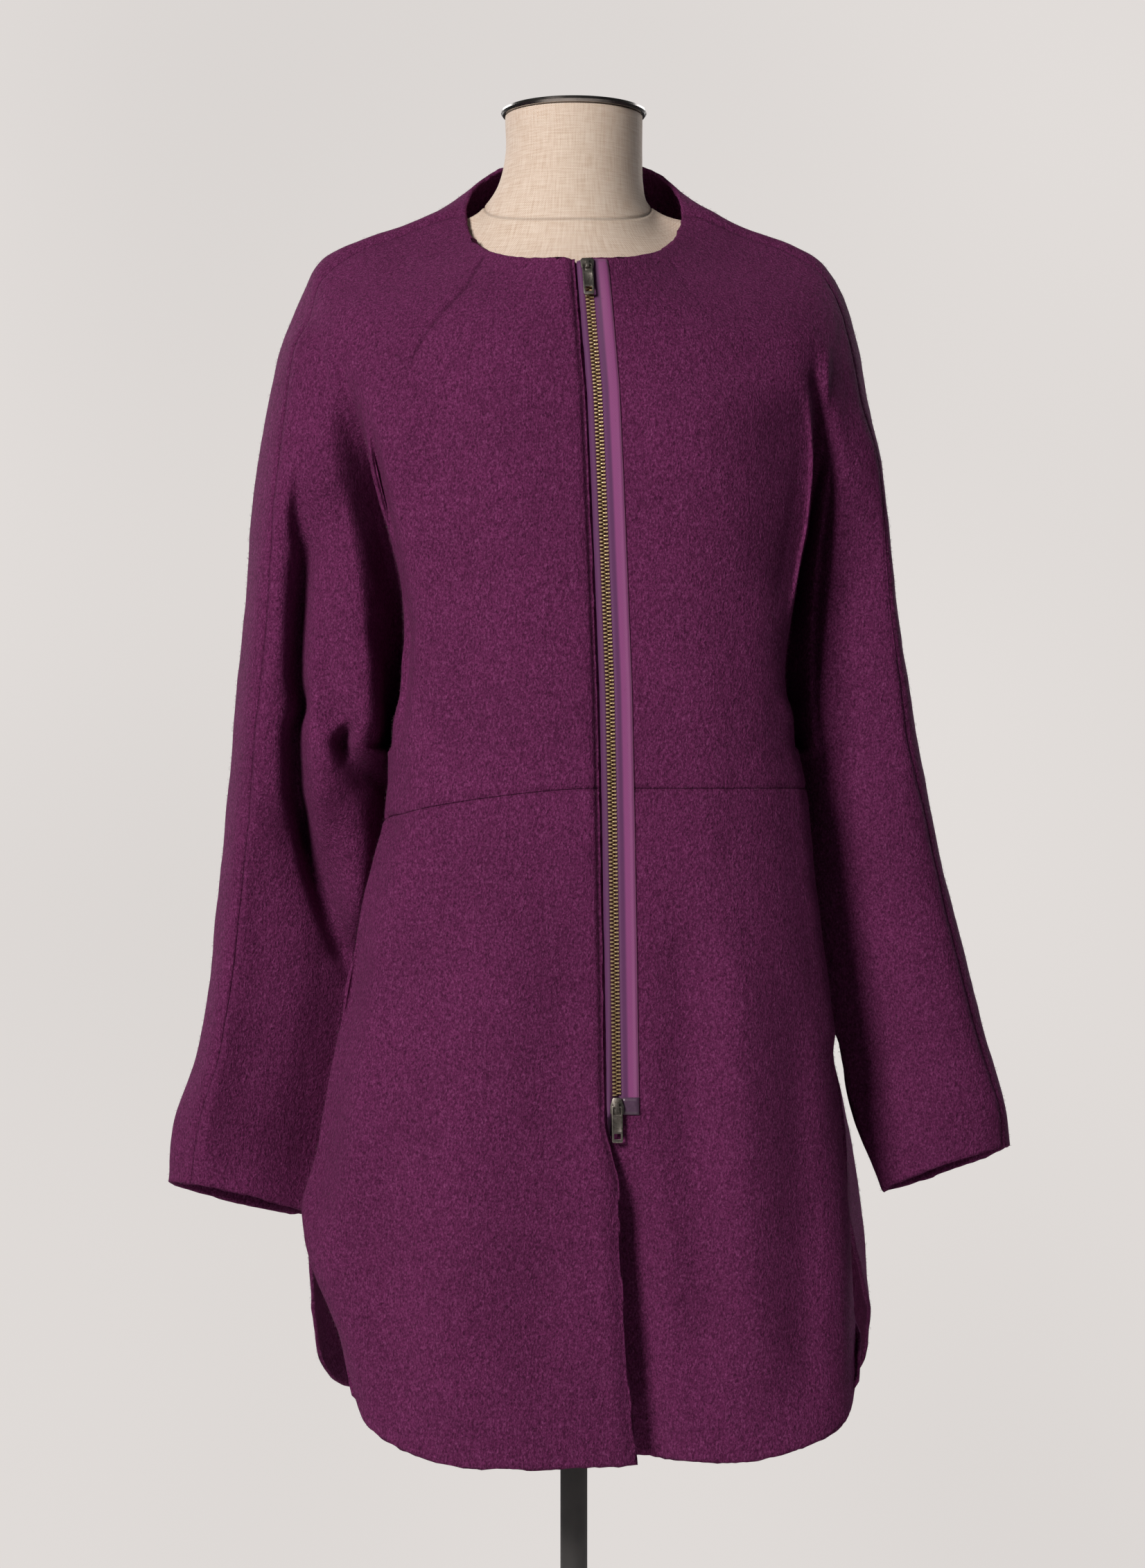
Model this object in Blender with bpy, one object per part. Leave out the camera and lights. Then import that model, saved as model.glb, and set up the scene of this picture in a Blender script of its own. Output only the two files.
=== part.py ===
"""Boiled-wool zip coat with cut-on dolman sleeves, on a limbless dress form with a stand.

Metres, +Z up, +X to the viewer's right, front towards -Y, origin in the middle of the base's underside.
Right and left are the wearer's, so the right side lies at negative x.
"""
import math
from collections import namedtuple

import bmesh
import bpy
import numpy as np
from mathutils import Matrix, Vector

# Finish of each piece, by the first word of its name: linear colour, roughness, metallic
Finish = namedtuple("Finish", "red green blue roughness metallic")
FINISHES = {
    "front": Finish(0.108, 0.021, 0.070, 0.95, 0.0),
    "skirt": Finish(0.108, 0.021, 0.070, 0.95, 0.0),
    "back": Finish(0.108, 0.021, 0.070, 0.95, 0.0),
    "pocket": Finish(0.060, 0.012, 0.040, 0.95, 0.0),
    "zip_tape": Finish(0.270, 0.070, 0.220, 0.80, 0.0),
    "zip_chain": Finish(0.300, 0.200, 0.100, 0.40, 1.0),
    "slider": Finish(0.160, 0.150, 0.150, 0.35, 1.0),
    "pull": Finish(0.160, 0.150, 0.150, 0.35, 1.0),
    "form": Finish(0.720, 0.560, 0.460, 0.90, 0.0),
    "neck": Finish(0.120, 0.110, 0.110, 0.12, 1.0),
    "pole": Finish(0.030, 0.030, 0.032, 0.35, 0.0),
    "base": Finish(0.030, 0.030, 0.032, 0.35, 0.0),
}

# Cloth
CLOTH = 0.003
SEAM_GAP = 0.0003
SIGN = {"right": -1.0, "left": 1.0}

# Closing line of the zip, seen from the front: height, distance to the viewer's right
CLOSING = (
    (0.500, 0.0430),
    (0.560, 0.0370),
    (0.650, 0.0315),
    (0.743, 0.0300),
    (0.940, 0.0270),
    (1.040, 0.0250),
    (1.180, 0.0195),
    (1.250, 0.0165),
    (1.344, 0.0090),
)
# Where each front's edge lies beside the closing line, along the zip and at the hem lap
EDGE_SHIFT = {"right": (-0.0080, 0.0015), "left": (0.0033, -0.0330)}
LAP_TOP = 0.739
LAP_FULL = 0.660
# How far each front's edge stands forward beside the zip
EDGE_LIFT = {"right": 0.0015, "left": 0.0}

# Rings round the neck and shoulders, from the collar edge to just below the shoulder tip
Yoke = namedtuple(
    "Yoke", "front_z side_z back_z front_y back_y half_right half_left square rise seam_right seam_left"
)
YOKE = (
    Yoke(1.348, 1.402, 1.456, -0.1000, 0.080, 0.0800, 0.0800, 2.0, 2.7, 86.0, 86.0),
    Yoke(1.334, 1.399, 1.430, -0.1060, 0.090, 0.0980, 0.0980, 2.0, 2.7, 86.0, 86.0),
    Yoke(1.318, 1.387, 1.399, -0.1120, 0.099, 0.1270, 0.1250, 2.1, 2.6, 86.0, 86.0),
    Yoke(1.300, 1.376, 1.376, -0.1180, 0.107, 0.1600, 0.1560, 2.2, 2.4, 85.0, 86.0),
    Yoke(1.280, 1.362, 1.352, -0.1235, 0.113, 0.1880, 0.1820, 2.3, 2.2, 80.0, 84.0),
    Yoke(1.258, 1.337, 1.325, -0.1285, 0.118, 0.2015, 0.1985, 2.3, 2.0, 73.0, 80.0),
)
# Turn of a yoke ring's knots from the closing line (0) to the centre back (180), degrees
FRONT_TURNS = (0.0, 28.0, 48.0)
BACK_TURNS = (106.0, 119.0, 125.0, 138.0, 152.0, 180.0)
# Shares of the way from the front edge knot to the shoulder seam
SHOULDER_SHARES = (0.30, 0.44, 0.64, 0.82, 1.0)
BACK_RISE = 1.9

# Rings below the shoulder, where the sleeve folds away from the body in a deep groove
Lobe = namedtuple(
    "Lobe",
    "front_z side_z back_z front_y back_y edge_x edge_y groove_x groove_front groove_back "
    "crest_x crest_y arm_x arm_y arm_a arm_b",
)
LOBES = {
    "right": (
        Lobe(1.232, 1.297, 1.293, -0.1325, 0.122, 0.150, -0.107, 0.170, -0.084, 0.080,
             0.180, -0.076, 0.170, -0.005, 0.0460, 0.066),
        Lobe(1.200, 1.245, 1.250, -0.1355, 0.125, 0.149, -0.112, 0.164, -0.064, 0.075,
             0.181, -0.077, 0.178, -0.006, 0.0495, 0.069),
        Lobe(1.165, 1.185, 1.190, -0.1380, 0.127, 0.140, -0.113, 0.153, -0.047, 0.067,
             0.175, -0.081, 0.185, -0.007, 0.0515, 0.072),
        Lobe(1.115, 1.115, 1.115, -0.1395, 0.1275, 0.123, -0.112, 0.141, -0.035, 0.056,
             0.163, -0.086, 0.189, -0.008, 0.0525, 0.074),
        Lobe(1.055, 1.055, 1.055, -0.1410, 0.128, 0.127, -0.110, 0.140, -0.022, 0.041,
             0.156, -0.088, 0.194, -0.007, 0.0530, 0.073),
        Lobe(1.018, 1.018, 1.018, -0.1420, 0.1285, 0.129, -0.109, 0.142, -0.010, 0.028,
             0.158, -0.086, 0.198, -0.007, 0.0525, 0.072),
        Lobe(1.000, 1.000, 1.000, -0.1425, 0.129, 0.129, -0.108, 0.143, 0.009, 0.009,
             0.162, -0.080, 0.200, -0.006, 0.0520, 0.070),
    ),
    "left": (
        Lobe(1.232, 1.297, 1.293, -0.1325, 0.122, 0.163, -0.098, 0.178, -0.075, 0.080,
             0.186, -0.067, 0.168, -0.003, 0.0425, 0.062),
        Lobe(1.200, 1.245, 1.250, -0.1355, 0.125, 0.168, -0.097, 0.176, -0.060, 0.075,
             0.188, -0.064, 0.175, -0.003, 0.0445, 0.064),
        Lobe(1.165, 1.185, 1.190, -0.1380, 0.127, 0.166, -0.098, 0.170, -0.045, 0.067,
             0.186, -0.062, 0.180, -0.003, 0.0465, 0.066),
        Lobe(1.115, 1.115, 1.115, -0.1395, 0.1275, 0.156, -0.102, 0.160, -0.034, 0.056,
             0.181, -0.062, 0.184, -0.003, 0.0475, 0.066),
        Lobe(1.055, 1.055, 1.055, -0.1410, 0.128, 0.147, -0.105, 0.153, -0.022, 0.041,
             0.178, -0.061, 0.191, -0.002, 0.0480, 0.065),
        Lobe(1.018, 1.018, 1.018, -0.1420, 0.1285, 0.149, -0.106, 0.156, -0.010, 0.028,
             0.180, -0.060, 0.196, -0.002, 0.0475, 0.064),
        Lobe(1.000, 1.000, 1.000, -0.1425, 0.129, 0.150, -0.106, 0.158, 0.009, 0.009,
             0.182, -0.058, 0.1990, -0.002, 0.0470, 0.063),
    ),
}
# Share of the way from front height to side height at each knot from closing line to outer arm
LOBE_RISE = (0.0, 0.06, 0.25, 0.42, 0.48, 0.60, 0.75, 0.90, 1.0)
# Turn of the overarm seam round the sleeve from its outer line, degrees
SEAM_TURN = {"right": 52.0, "left": 34.0}
LOBE_SEAM_TURNS = {"right": (45.0, 50.0, 52.0, 52.0, 52.0, 52.0, 52.0), "left": (34.0,) * 7}
CREST_TURN = 112.0
ARM_BACK_TURN = -100.0
LOBE_BACK_TURNS = (-55.0, -64.0, -73.0, -82.0, -90.0, -95.0, -98.0)
# Half width of the groove's bottom, and of the bridge of cloth at the underarm point
GROOVE_HALF = 0.004

# Sleeve below the underarm point, from there to the cuff; tilt is how far its front hangs above its back
Arm = namedtuple("Arm", "outer_z inner_z x y half_width half_depth tilt")
ARMS = {
    "right": (
        Arm(0.950, 0.950, 0.2015, -0.003, 0.0555, 0.064, 0.0),
        Arm(0.890, 0.890, 0.2085, -0.004, 0.0545, 0.059, 0.0),
        Arm(0.830, 0.830, 0.2160, -0.008, 0.0520, 0.053, 0.0),
        Arm(0.772, 0.770, 0.2272, -0.013, 0.0513, 0.047, 0.004),
        Arm(0.724, 0.715, 0.2402, -0.018, 0.0533, 0.042, 0.012),
        Arm(0.679, 0.656, 0.2485, -0.020, 0.0495, 0.036, 0.018),
    ),
    "left": (
        Arm(0.950, 0.950, 0.2117, -0.003, 0.0448, 0.060, 0.0),
        Arm(0.892, 0.888, 0.2217, -0.006, 0.0478, 0.056, 0.0),
        Arm(0.836, 0.826, 0.2347, -0.011, 0.0488, 0.051, 0.0),
        Arm(0.780, 0.764, 0.2480, -0.016, 0.0500, 0.045, 0.004),
        Arm(0.738, 0.714, 0.2610, -0.022, 0.0500, 0.039, 0.011),
        Arm(0.706, 0.673, 0.2725, -0.024, 0.0465, 0.033, 0.016),
    ),
}

# Body below the underarm point, from the waist seam to the hem
Section = namedtuple(
    "Section",
    "front_z side_z back_z front_y edge_x edge_y side_x side_y slit_x slit_y flank_x flank_y back_y",
)
SECTIONS = {
    "right": (
        Section(0.970, 0.944, 0.955, -0.1445, 0.133, -0.108, 0.140, -0.004, 0.0, 0.0, 0.142, 0.060, 0.130),
        Section(0.895, 0.890, 0.895, -0.1470, 0.149, -0.108, 0.149, -0.006, 0.0, 0.0, 0.150, 0.062, 0.136),
        Section(0.820, 0.820, 0.820, -0.1505, 0.163, -0.108, 0.161, -0.008, 0.0, 0.0, 0.162, 0.066, 0.143),
        Section(0.740, 0.740, 0.740, -0.1545, 0.179, -0.110, 0.177, -0.010, 0.0, 0.0, 0.177, 0.072, 0.150),
        Section(0.660, 0.660, 0.660, -0.1590, 0.185, -0.116, 0.193, -0.016, 0.0, 0.0, 0.190, 0.080, 0.157),
        Section(0.580, 0.580, 0.580, -0.1625, 0.160, -0.130, 0.173, -0.072, 0.024, 0.096, 0.190, 0.094, 0.163),
        Section(0.502, 0.502, 0.502, -0.1640, 0.134, -0.146, 0.158, -0.104, 0.034, 0.150, 0.178, 0.108, 0.168),
    ),
    "left": (
        Section(0.970, 0.970, 0.955, -0.1425, 0.156, -0.105, 0.160, -0.015, 0.0, 0.0, 0.148, 0.060, 0.130),
        Section(0.895, 0.895, 0.895, -0.1450, 0.164, -0.105, 0.168, -0.028, 0.0, 0.0, 0.160, 0.062, 0.136),
        Section(0.820, 0.820, 0.820, -0.1470, 0.174, -0.104, 0.180, -0.042, 0.0, 0.0, 0.176, 0.066, 0.143),
        Section(0.740, 0.740, 0.740, -0.1465, 0.184, -0.104, 0.192, -0.052, 0.0, 0.0, 0.197, 0.072, 0.150),
        Section(0.660, 0.660, 0.660, -0.1430, 0.189, -0.107, 0.199, -0.056, 0.0, 0.0, 0.213, 0.076, 0.157),
        Section(0.580, 0.580, 0.580, -0.1400, 0.187, -0.122, 0.201, -0.078, 0.021, 0.098, 0.217, 0.086, 0.163),
        Section(0.502, 0.502, 0.502, -0.1390, 0.182, -0.132, 0.204, -0.088, 0.020, 0.140, 0.204, 0.104, 0.168),
    ),
}
# Forward swell of the skirt between closing line and side, per section row from waist to hem
SKIRT_SWELL = {
    "right": (0.0, 0.001, 0.002, 0.004, 0.006, 0.009, 0.012),
    "left": (0.0, 0.000, 0.000, 0.002, 0.006, 0.010, 0.014),
}
MID_SHARE = {"right": 0.52, "left": 0.58}

# Largest folds: x and z of the start and end seen from the front, half width, depth (minus is a trough)
Fold = namedtuple("Fold", "x0 z0 x1 z1 half_width depth")
FOLDS = (
    Fold(-0.200, 1.140, -0.207, 1.030, 0.014, -0.010),
    Fold(-0.207, 1.030, -0.200, 0.940, 0.014, -0.011),
    Fold(-0.200, 0.940, -0.178, 0.850, 0.014, -0.009),
    Fold(-0.168, 1.015, -0.140, 0.975, 0.014, -0.010),
)

# Hem corners: how far the rounding reaches along the hem and up the slit, in knots of the net
FRONT_CORNER = (0.70, 0.64)
BACK_CORNER = (1.00, 1.10)

# Steps of the mesh between knots, from closing line to centre back, and between rows
COLUMN_STEPS = (3, 3, 4, 1, 3, 2, 2, 1, 3, 3, 1, 3, 2, 3)
YOKE_STEPS = (1, 1, 1, 1, 1, 1, 2, 2, 2, 2, 1, 1)
ARM_STEPS = (2, 2, 2, 2, 2, 2)
BODICE_STEPS = (2,)
SKIRT_STEPS = (2, 2, 2, 2, 2, 3)

# Pocket openings in the side seams
POCKET_TOP = 0.805
POCKET_BOTTOM = 0.668
POCKET_GAPE = 0.0035
FACING_PULL = 0.10
FACING_DEPTH = 0.0036
FACING_THICK = 0.0015

# Zip
CHAIN_HALF = 0.0029
CHAIN_FRONT = 0.0016
CHAIN_BACK = -0.0010
TAPE_THICK = 0.0007
TAPE_LIFT = 0.0003
TAPE_NEAR = 0.0034
TAPE_FAR = 0.0155
TAPE_HIDDEN = 0.0110
TAPE_TURN = 0.0016
ZIP_TOP_DROP = 0.0025
ZIP_END_Z = 0.743
SLIDER_LONG = 0.0120
SLIDER_WIDE = 0.0094
SLIDER_THICK = 0.0017
SLIDER_LIFT = 0.0020
TIP_WIDE = 0.0066
SHOULDER_LONG = 0.0058
CORNER_LONG = 0.0016
TIP_LONG = 0.0012
CORE_WIDE = 0.0022
CORE_LONG = 0.0068
SINK = 0.0004
BRIDGE_LONG = 0.0066
BRIDGE_WIDE = 0.0026
BRIDGE_TALL = 0.0030
BRIDGE_BAR = 0.0009
PULL_LONG = 0.0250
PULL_WIDE = 0.0077
PULL_THICK = 0.0012
PULL_RAIL = 0.0011
PULL_CORNER = 0.0008
PULL_EYE = 0.0056
PULL_PANEL_TOP = 0.0078
PULL_PANEL_BOTTOM = 0.0170
PULL_HOLE_TOP = 0.0186
PULL_HOLE_BOTTOM = 0.0226
PULL_HOLE_WIDE = 0.0046
PULL_RECESS = 0.0003

# Dress form: torso rings from the neck top to the closed bottom
Ring = namedtuple("Ring", "front_z side_z back_z front_y back_y half_width square rise")
TORSO = (
    Ring(1.4680, 1.4680, 1.4680, -0.0510, 0.0510, 0.0510, 2.0, 2.0),
    Ring(1.4400, 1.4400, 1.4400, -0.0508, 0.0508, 0.0508, 2.0, 2.0),
    Ring(1.4120, 1.4180, 1.4240, -0.0515, 0.0515, 0.0515, 2.0, 2.0),
    Ring(1.3920, 1.4050, 1.4140, -0.0545, 0.0540, 0.0545, 2.0, 2.2),
    Ring(1.3660, 1.3960, 1.4030, -0.0630, 0.0600, 0.0660, 2.0, 3.0),
    Ring(1.3450, 1.3895, 1.3880, -0.0780, 0.0690, 0.0900, 2.0, 3.6),
    Ring(1.3250, 1.3828, 1.3690, -0.0900, 0.0770, 0.1230, 2.1, 3.0),
    Ring(1.3050, 1.3716, 1.3470, -0.0980, 0.0840, 0.1550, 2.2, 2.7),
    Ring(1.2830, 1.3570, 1.3220, -0.1030, 0.0890, 0.1750, 2.3, 2.5),
    Ring(1.2620, 1.3300, 1.2980, -0.1070, 0.0920, 0.1770, 2.3, 2.3),
    Ring(1.2350, 1.2850, 1.2650, -0.1100, 0.0940, 0.1650, 2.3, 2.2),
    Ring(1.2000, 1.2200, 1.2150, -0.1130, 0.0950, 0.1460, 2.3, 2.0),
    Ring(1.1500, 1.1500, 1.1500, -0.1120, 0.0920, 0.1310, 2.2, 2.0),
    Ring(1.1000, 1.1000, 1.1000, -0.1020, 0.0860, 0.1190, 2.2, 2.0),
    Ring(1.0400, 1.0400, 1.0400, -0.0900, 0.0800, 0.1090, 2.1, 2.0),
    Ring(1.0000, 1.0000, 1.0000, -0.0890, 0.0820, 0.1100, 2.1, 2.0),
    Ring(0.9400, 0.9400, 0.9400, -0.0940, 0.0940, 0.1180, 2.1, 2.0),
    Ring(0.8600, 0.8600, 0.8600, -0.1020, 0.1100, 0.1300, 2.1, 2.0),
    Ring(0.8000, 0.8000, 0.8000, -0.1030, 0.1130, 0.1350, 2.1, 2.0),
    Ring(0.7500, 0.7500, 0.7500, -0.1000, 0.1090, 0.1330, 2.1, 2.0),
    Ring(0.7300, 0.7300, 0.7300, -0.0950, 0.1040, 0.1280, 2.1, 2.0),
    Ring(0.7220, 0.7220, 0.7220, -0.0860, 0.0950, 0.1190, 2.1, 2.0),
)
TORSO_ROUND = 36

# Stand
REST_GAP = 0.0003
CAP_PROFILE = (
    (0.0, 0.0),
    (0.0500, 0.0),
    (0.0528, 0.0006),
    (0.0540, 0.0024),
    (0.0536, 0.0040),
    (0.0515, 0.0050),
    (0.0460, 0.0056),
    (0.0440, 0.0050),
    (0.0300, 0.0062),
    (0.0120, 0.0068),
    (0.0, 0.0068),
)
POLE_RADIUS = 0.0100
BASE_PROFILE = (
    (0.0, 0.0),
    (0.1760, 0.0),
    (0.1800, 0.0020),
    (0.1800, 0.0070),
    (0.1770, 0.0095),
    (0.0280, 0.0140),
    (0.0220, 0.0160),
    (0.0, 0.0160),
)
TURN_STEPS = 48
POLE_SIDES = 24


def closing_x(z):
    """Distance of the closing line to the viewer's right at a height."""
    heights = [row[0] for row in CLOSING]
    places = [row[1] for row in CLOSING]
    return float(np.interp(z, heights, places))


def front_edge_x(side, z):
    """Place of a front's own edge at a height: beside the zip, then at the lap below it."""
    beside_zip, at_hem = EDGE_SHIFT[side]
    share = min(max((LAP_TOP - z) / (LAP_TOP - LAP_FULL), 0.0), 1.0)
    share = share * share * (3.0 - 2.0 * share)
    return closing_x(z) + beside_zip + (at_hem - beside_zip) * share


MIRROR_X = np.array((-1.0, 1.0, 1.0))


def smooth_curve(knots, places, closed=False, level_ends=False):
    """Points on a smooth curve through the knots, at places counted in knots.

    With level ends the curve starts and stops square to the x direction, as if mirrored there.
    """
    knots = np.asarray(knots, dtype=float)
    places = np.asarray(places, dtype=float)
    if closed:
        run = np.vstack((knots[-1:], knots, knots[:2]))
    elif level_ends:
        first = knots[1] * MIRROR_X + (2.0 * knots[0][0], 0.0, 0.0)
        last = knots[-2] * MIRROR_X + (2.0 * knots[-1][0], 0.0, 0.0)
        run = np.vstack((first, knots, last))
    else:
        run = np.vstack((2.0 * knots[0] - knots[1], knots, 2.0 * knots[-1] - knots[-2]))
    moves = np.diff(run, axis=0)
    spans = np.sqrt(np.linalg.norm(moves, axis=1)) + 1e-6
    slopes = moves / spans[:, None]
    before = spans[:-1, None]
    after = spans[1:, None]
    tangents = (slopes[:-1] * after + slopes[1:] * before) / (before + after)
    last = len(knots) - 1 if closed else len(knots) - 2
    index = np.clip(np.floor(places).astype(int), 0, last)
    f = (places - index)[:, None]
    span = spans[index + 1][:, None]
    start = (1.0 + 2.0 * f) * (1.0 - f) ** 2 * run[index + 1]
    start_slope = f * (1.0 - f) ** 2 * span * tangents[index]
    end = f ** 2 * (3.0 - 2.0 * f) * run[index + 2]
    end_slope = f ** 2 * (f - 1.0) * span * tangents[index + 1]
    return start + start_slope + end + end_slope


def yoke_knots(row, side):
    """Knots of one plain ring, from the closing line round the side to the centre back."""
    half = row.half_right if side == "right" else row.half_left
    power = 2.0 / row.square
    knots = []
    edge_turn = FRONT_TURNS[-1]
    seam_turn = row.seam_right if side == "right" else row.seam_left
    shoulder = tuple(edge_turn + share * (seam_turn - edge_turn) for share in SHOULDER_SHARES)
    for turn in FRONT_TURNS + shoulder + (90.0,) + BACK_TURNS:
        angle = math.radians(turn)
        x = half * math.sin(angle) ** power if turn < 180 else 0.0
        cosine = math.cos(angle)
        if turn <= 90.0:
            y = row.front_y * max(cosine, 0.0) ** power
            z = row.front_z + (row.side_z - row.front_z) * (turn / 90.0) ** row.rise
        else:
            y = row.back_y * (-cosine) ** power
            z = row.back_z + (row.side_z - row.back_z) * ((180.0 - turn) / 90.0) ** BACK_RISE
        knots.append((SIGN[side] * x, y, z))
    knots[0] = (front_edge_x(side, row.front_z), row.front_y - EDGE_LIFT[side], row.front_z)
    return np.array(knots)


def around(arm_x, arm_y, half_width, half_depth, turn):
    """Point of a sleeve's oval, turned from its outer line towards the front."""
    angle = math.radians(turn)
    return arm_x + half_width * math.cos(angle), arm_y - half_depth * math.sin(angle)


def lobe_knots(row, side, seam_turn, back_turn):
    """Knots of one ring with a body lobe, a groove and a sleeve lobe."""
    sign = SIGN[side]
    edge = front_edge_x(side, row.front_z)
    mid = edge + MID_SHARE[side] * (sign * row.edge_x - edge)
    mid_y = row.front_y + 0.10 * (row.edge_y - row.front_y)
    seam = around(row.arm_x, row.arm_y, row.arm_a, row.arm_b, seam_turn)
    outer = around(row.arm_x, row.arm_y, row.arm_a, row.arm_b, 0.0)
    arm_back = around(row.arm_x, row.arm_y, row.arm_a, row.arm_b, back_turn)
    crease_x = 0.5 * (row.crest_x + seam[0]) + 0.05 * (row.crest_y - seam[1])
    crease_y = 0.5 * (row.crest_y + seam[1]) - 0.16 * (seam[0] - row.crest_x)
    corner_x = 0.105
    corner_y = 0.87 * row.back_y
    flank_x = 0.97 * row.groove_x
    flank_y = row.groove_back + 0.55 * (corner_y - row.groove_back)
    plan = (
        (edge * sign, row.front_y - EDGE_LIFT[side]),
        (mid * sign, mid_y),
        (row.edge_x, row.edge_y),
        (row.groove_x - GROOVE_HALF, row.groove_front),
        (row.groove_x + GROOVE_HALF, row.groove_front),
        (row.crest_x, row.crest_y),
        (crease_x, crease_y),
        seam,
        outer,
        arm_back,
        (row.groove_x + GROOVE_HALF, row.groove_back),
        (row.groove_x - GROOVE_HALF, row.groove_back),
        (flank_x, flank_y),
        (corner_x, corner_y),
        (0.0, row.back_y),
    )
    front_gain = row.side_z - row.front_z
    back_gain = row.back_z - row.side_z
    heights = [row.front_z + share * front_gain for share in LOBE_RISE]
    heights += [row.side_z + share * back_gain for share in (0.2, 0.45, 0.55, 0.7, 0.85, 1.0)]
    return np.array([(sign * x, y, z) for (x, y), z in zip(plan, heights)])


def section_knots(row, side, swell):
    """Knots of one body ring: closing line, middle, fold edge, side, slit, flank, corner, back."""
    sign = SIGN[side]
    edge = front_edge_x(side, row.front_z)
    mid = edge + MID_SHARE[side] * (sign * row.edge_x - edge)
    mid_y = row.front_y + 0.10 * (row.edge_y - row.front_y) - swell
    middle_z = 0.5 * (row.front_z + row.side_z)
    return np.array((
        (edge, row.front_y, row.front_z),
        (mid, mid_y, 0.75 * row.front_z + 0.25 * row.side_z),
        (sign * row.edge_x, row.edge_y, 0.5 * middle_z + 0.5 * row.side_z),
        (sign * row.side_x, row.side_y, row.side_z),
        (sign * row.slit_x, row.slit_y, 0.0),
        (sign * row.flank_x, row.flank_y, 0.5 * (row.side_z + row.back_z)),
        (sign * 0.74 * row.flank_x, 0.87 * row.back_y, row.back_z),
        (0.0, row.back_y, row.back_z),
    ))


def arm_knots(row, side):
    """Knots of one sleeve ring: underarm, front crest, crease, overarm seam, outer line, back."""
    seam_turn = SEAM_TURN[side]
    turns = (180.0, CREST_TURN, 0.5 * (CREST_TURN + seam_turn), seam_turn, 0.0, ARM_BACK_TURN)
    knots = []
    for turn in turns:
        x, y = around(row.x, row.y, row.half_width, row.half_depth, turn)
        outward = 0.5 + 0.5 * math.cos(math.radians(turn))
        level = row.inner_z + (row.outer_z - row.inner_z) * outward
        knots.append((SIGN[side] * x, y, level + 0.5 * row.tilt * math.sin(math.radians(turn))))
    return np.array(knots)


class CoatSide:
    """One half of the coat's outer surface, made of its rows of knots."""

    def __init__(self, side):
        self.side = side
        self.upper = [yoke_knots(row, side) for row in YOKE]
        lobes = zip(LOBES[side], LOBE_SEAM_TURNS[side], LOBE_BACK_TURNS)
        self.upper += [lobe_knots(row, side, seam, back) for row, seam, back in lobes]
        rows = zip(SECTIONS[side], SKIRT_SWELL[side])
        self.body = [section_knots(row, side, swell) for row, swell in rows]
        self.arm = [arm_knots(row, side) for row in ARMS[side]]
        self.fork = len(self.upper) - 1

    def column(self, upper_index, lower, lower_index, places):
        """One knot column from the collar down through the body rows or the sleeve rows."""
        knots = [row[upper_index] for row in self.upper]
        knots += [row[lower_index] for row in lower]
        return smooth_curve(knots, places)

    def upper_ring(self, place):
        """Knots of the ring at a row place above the underarm bridge."""
        places = [place]
        knots = []
        for index in range(15):
            if index in (3, 4, 10, 11):
                knots.append(smooth_curve([row[index] for row in self.upper], places)[0])
            elif index < 3:
                knots.append(self.column(index, self.body, index, places)[0])
            elif index > 11:
                knots.append(self.column(index, self.body, index - 7, places)[0])
            else:
                knots.append(self.column(index, self.arm, index - 4, places)[0])
        knots[0][0] = front_edge_x(self.side, knots[0][2])
        return np.array(knots)

    def body_ring(self, place):
        """Knots of the body ring at a row place below the underarm bridge."""
        down = [place + self.fork]
        start = self.upper[self.fork][3]
        front = smooth_curve([start] + [row[3] for row in self.body], [place])[0]
        rows = np.arange(1.0, len(self.body) + 1.0)
        slit = [np.interp(place, rows, [row[4][axis] for row in self.body]) for axis in range(3)]
        flap = front + np.array(slit)
        head = [self.column(index, self.body, index, down)[0] for index in (0, 1, 2)]
        tail = [self.column(index, self.body, index - 7, down)[0] for index in (12, 13, 14)]
        head[0][0] = front_edge_x(self.side, head[0][2])
        return np.array(head + [front, flap] + tail)

    def arm_ring(self, place):
        """Knots of the sleeve ring at a row place below the underarm bridge."""
        start = self.upper[self.fork][4]
        under = smooth_curve([start] + [row[0] for row in self.arm], [place])[0]
        rest = [self.column(index, self.arm, index - 4, [place + self.fork])[0] for index in range(5, 10)]
        return np.array([under] + rest)

    def on_yoke(self, row, column):
        """Surface point above the underarm bridge; columns run 0 to 14 from closing line to centre back."""
        return smooth_curve(self.upper_ring(row), [column], level_ends=True)[0]

    def on_front(self, row, column):
        """Surface point of the body front below the underarm bridge; columns 0 to 3."""
        ring = self.body_ring(row)
        return smooth_curve(ring[[0, 1, 2, 3, 5]], [column], level_ends=True)[0]

    def on_back(self, row, column):
        """Surface point of the body back below the underarm bridge; columns 11 to 14."""
        ring = self.body_ring(row)
        return smooth_curve(ring[[2, 4, 5, 6, 7]], [column - 10.0], level_ends=True)[0]

    def on_arm(self, row, column):
        """Surface point of the sleeve below the underarm bridge; columns 4 to 10."""
        return smooth_curve(self.arm_ring(row), [column - 4.0], closed=True)[0]


def spread(steps, start=0.0):
    """Places between knots, with so many steps after each knot."""
    places = [start]
    for index, count in enumerate(steps):
        places += [start + index + (step + 1.0) / count for step in range(count)]
    return places


def round_corner(row, column, hem_row, edge_column, reach, inward):
    """Moves a grid place near a square corner onto a rounded one."""
    along = 1.0 - abs(edge_column - column) / reach[0]
    down = 1.0 - (hem_row - row) / reach[1]
    if along <= 0.0 or down <= 0.0:
        return row, column
    new_along = along * math.sqrt(1.0 - 0.5 * down * down)
    new_down = down * math.sqrt(1.0 - 0.5 * along * along)
    return hem_row - (1.0 - new_down) * reach[1], edge_column + inward * (1.0 - new_along) * reach[0]


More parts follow.
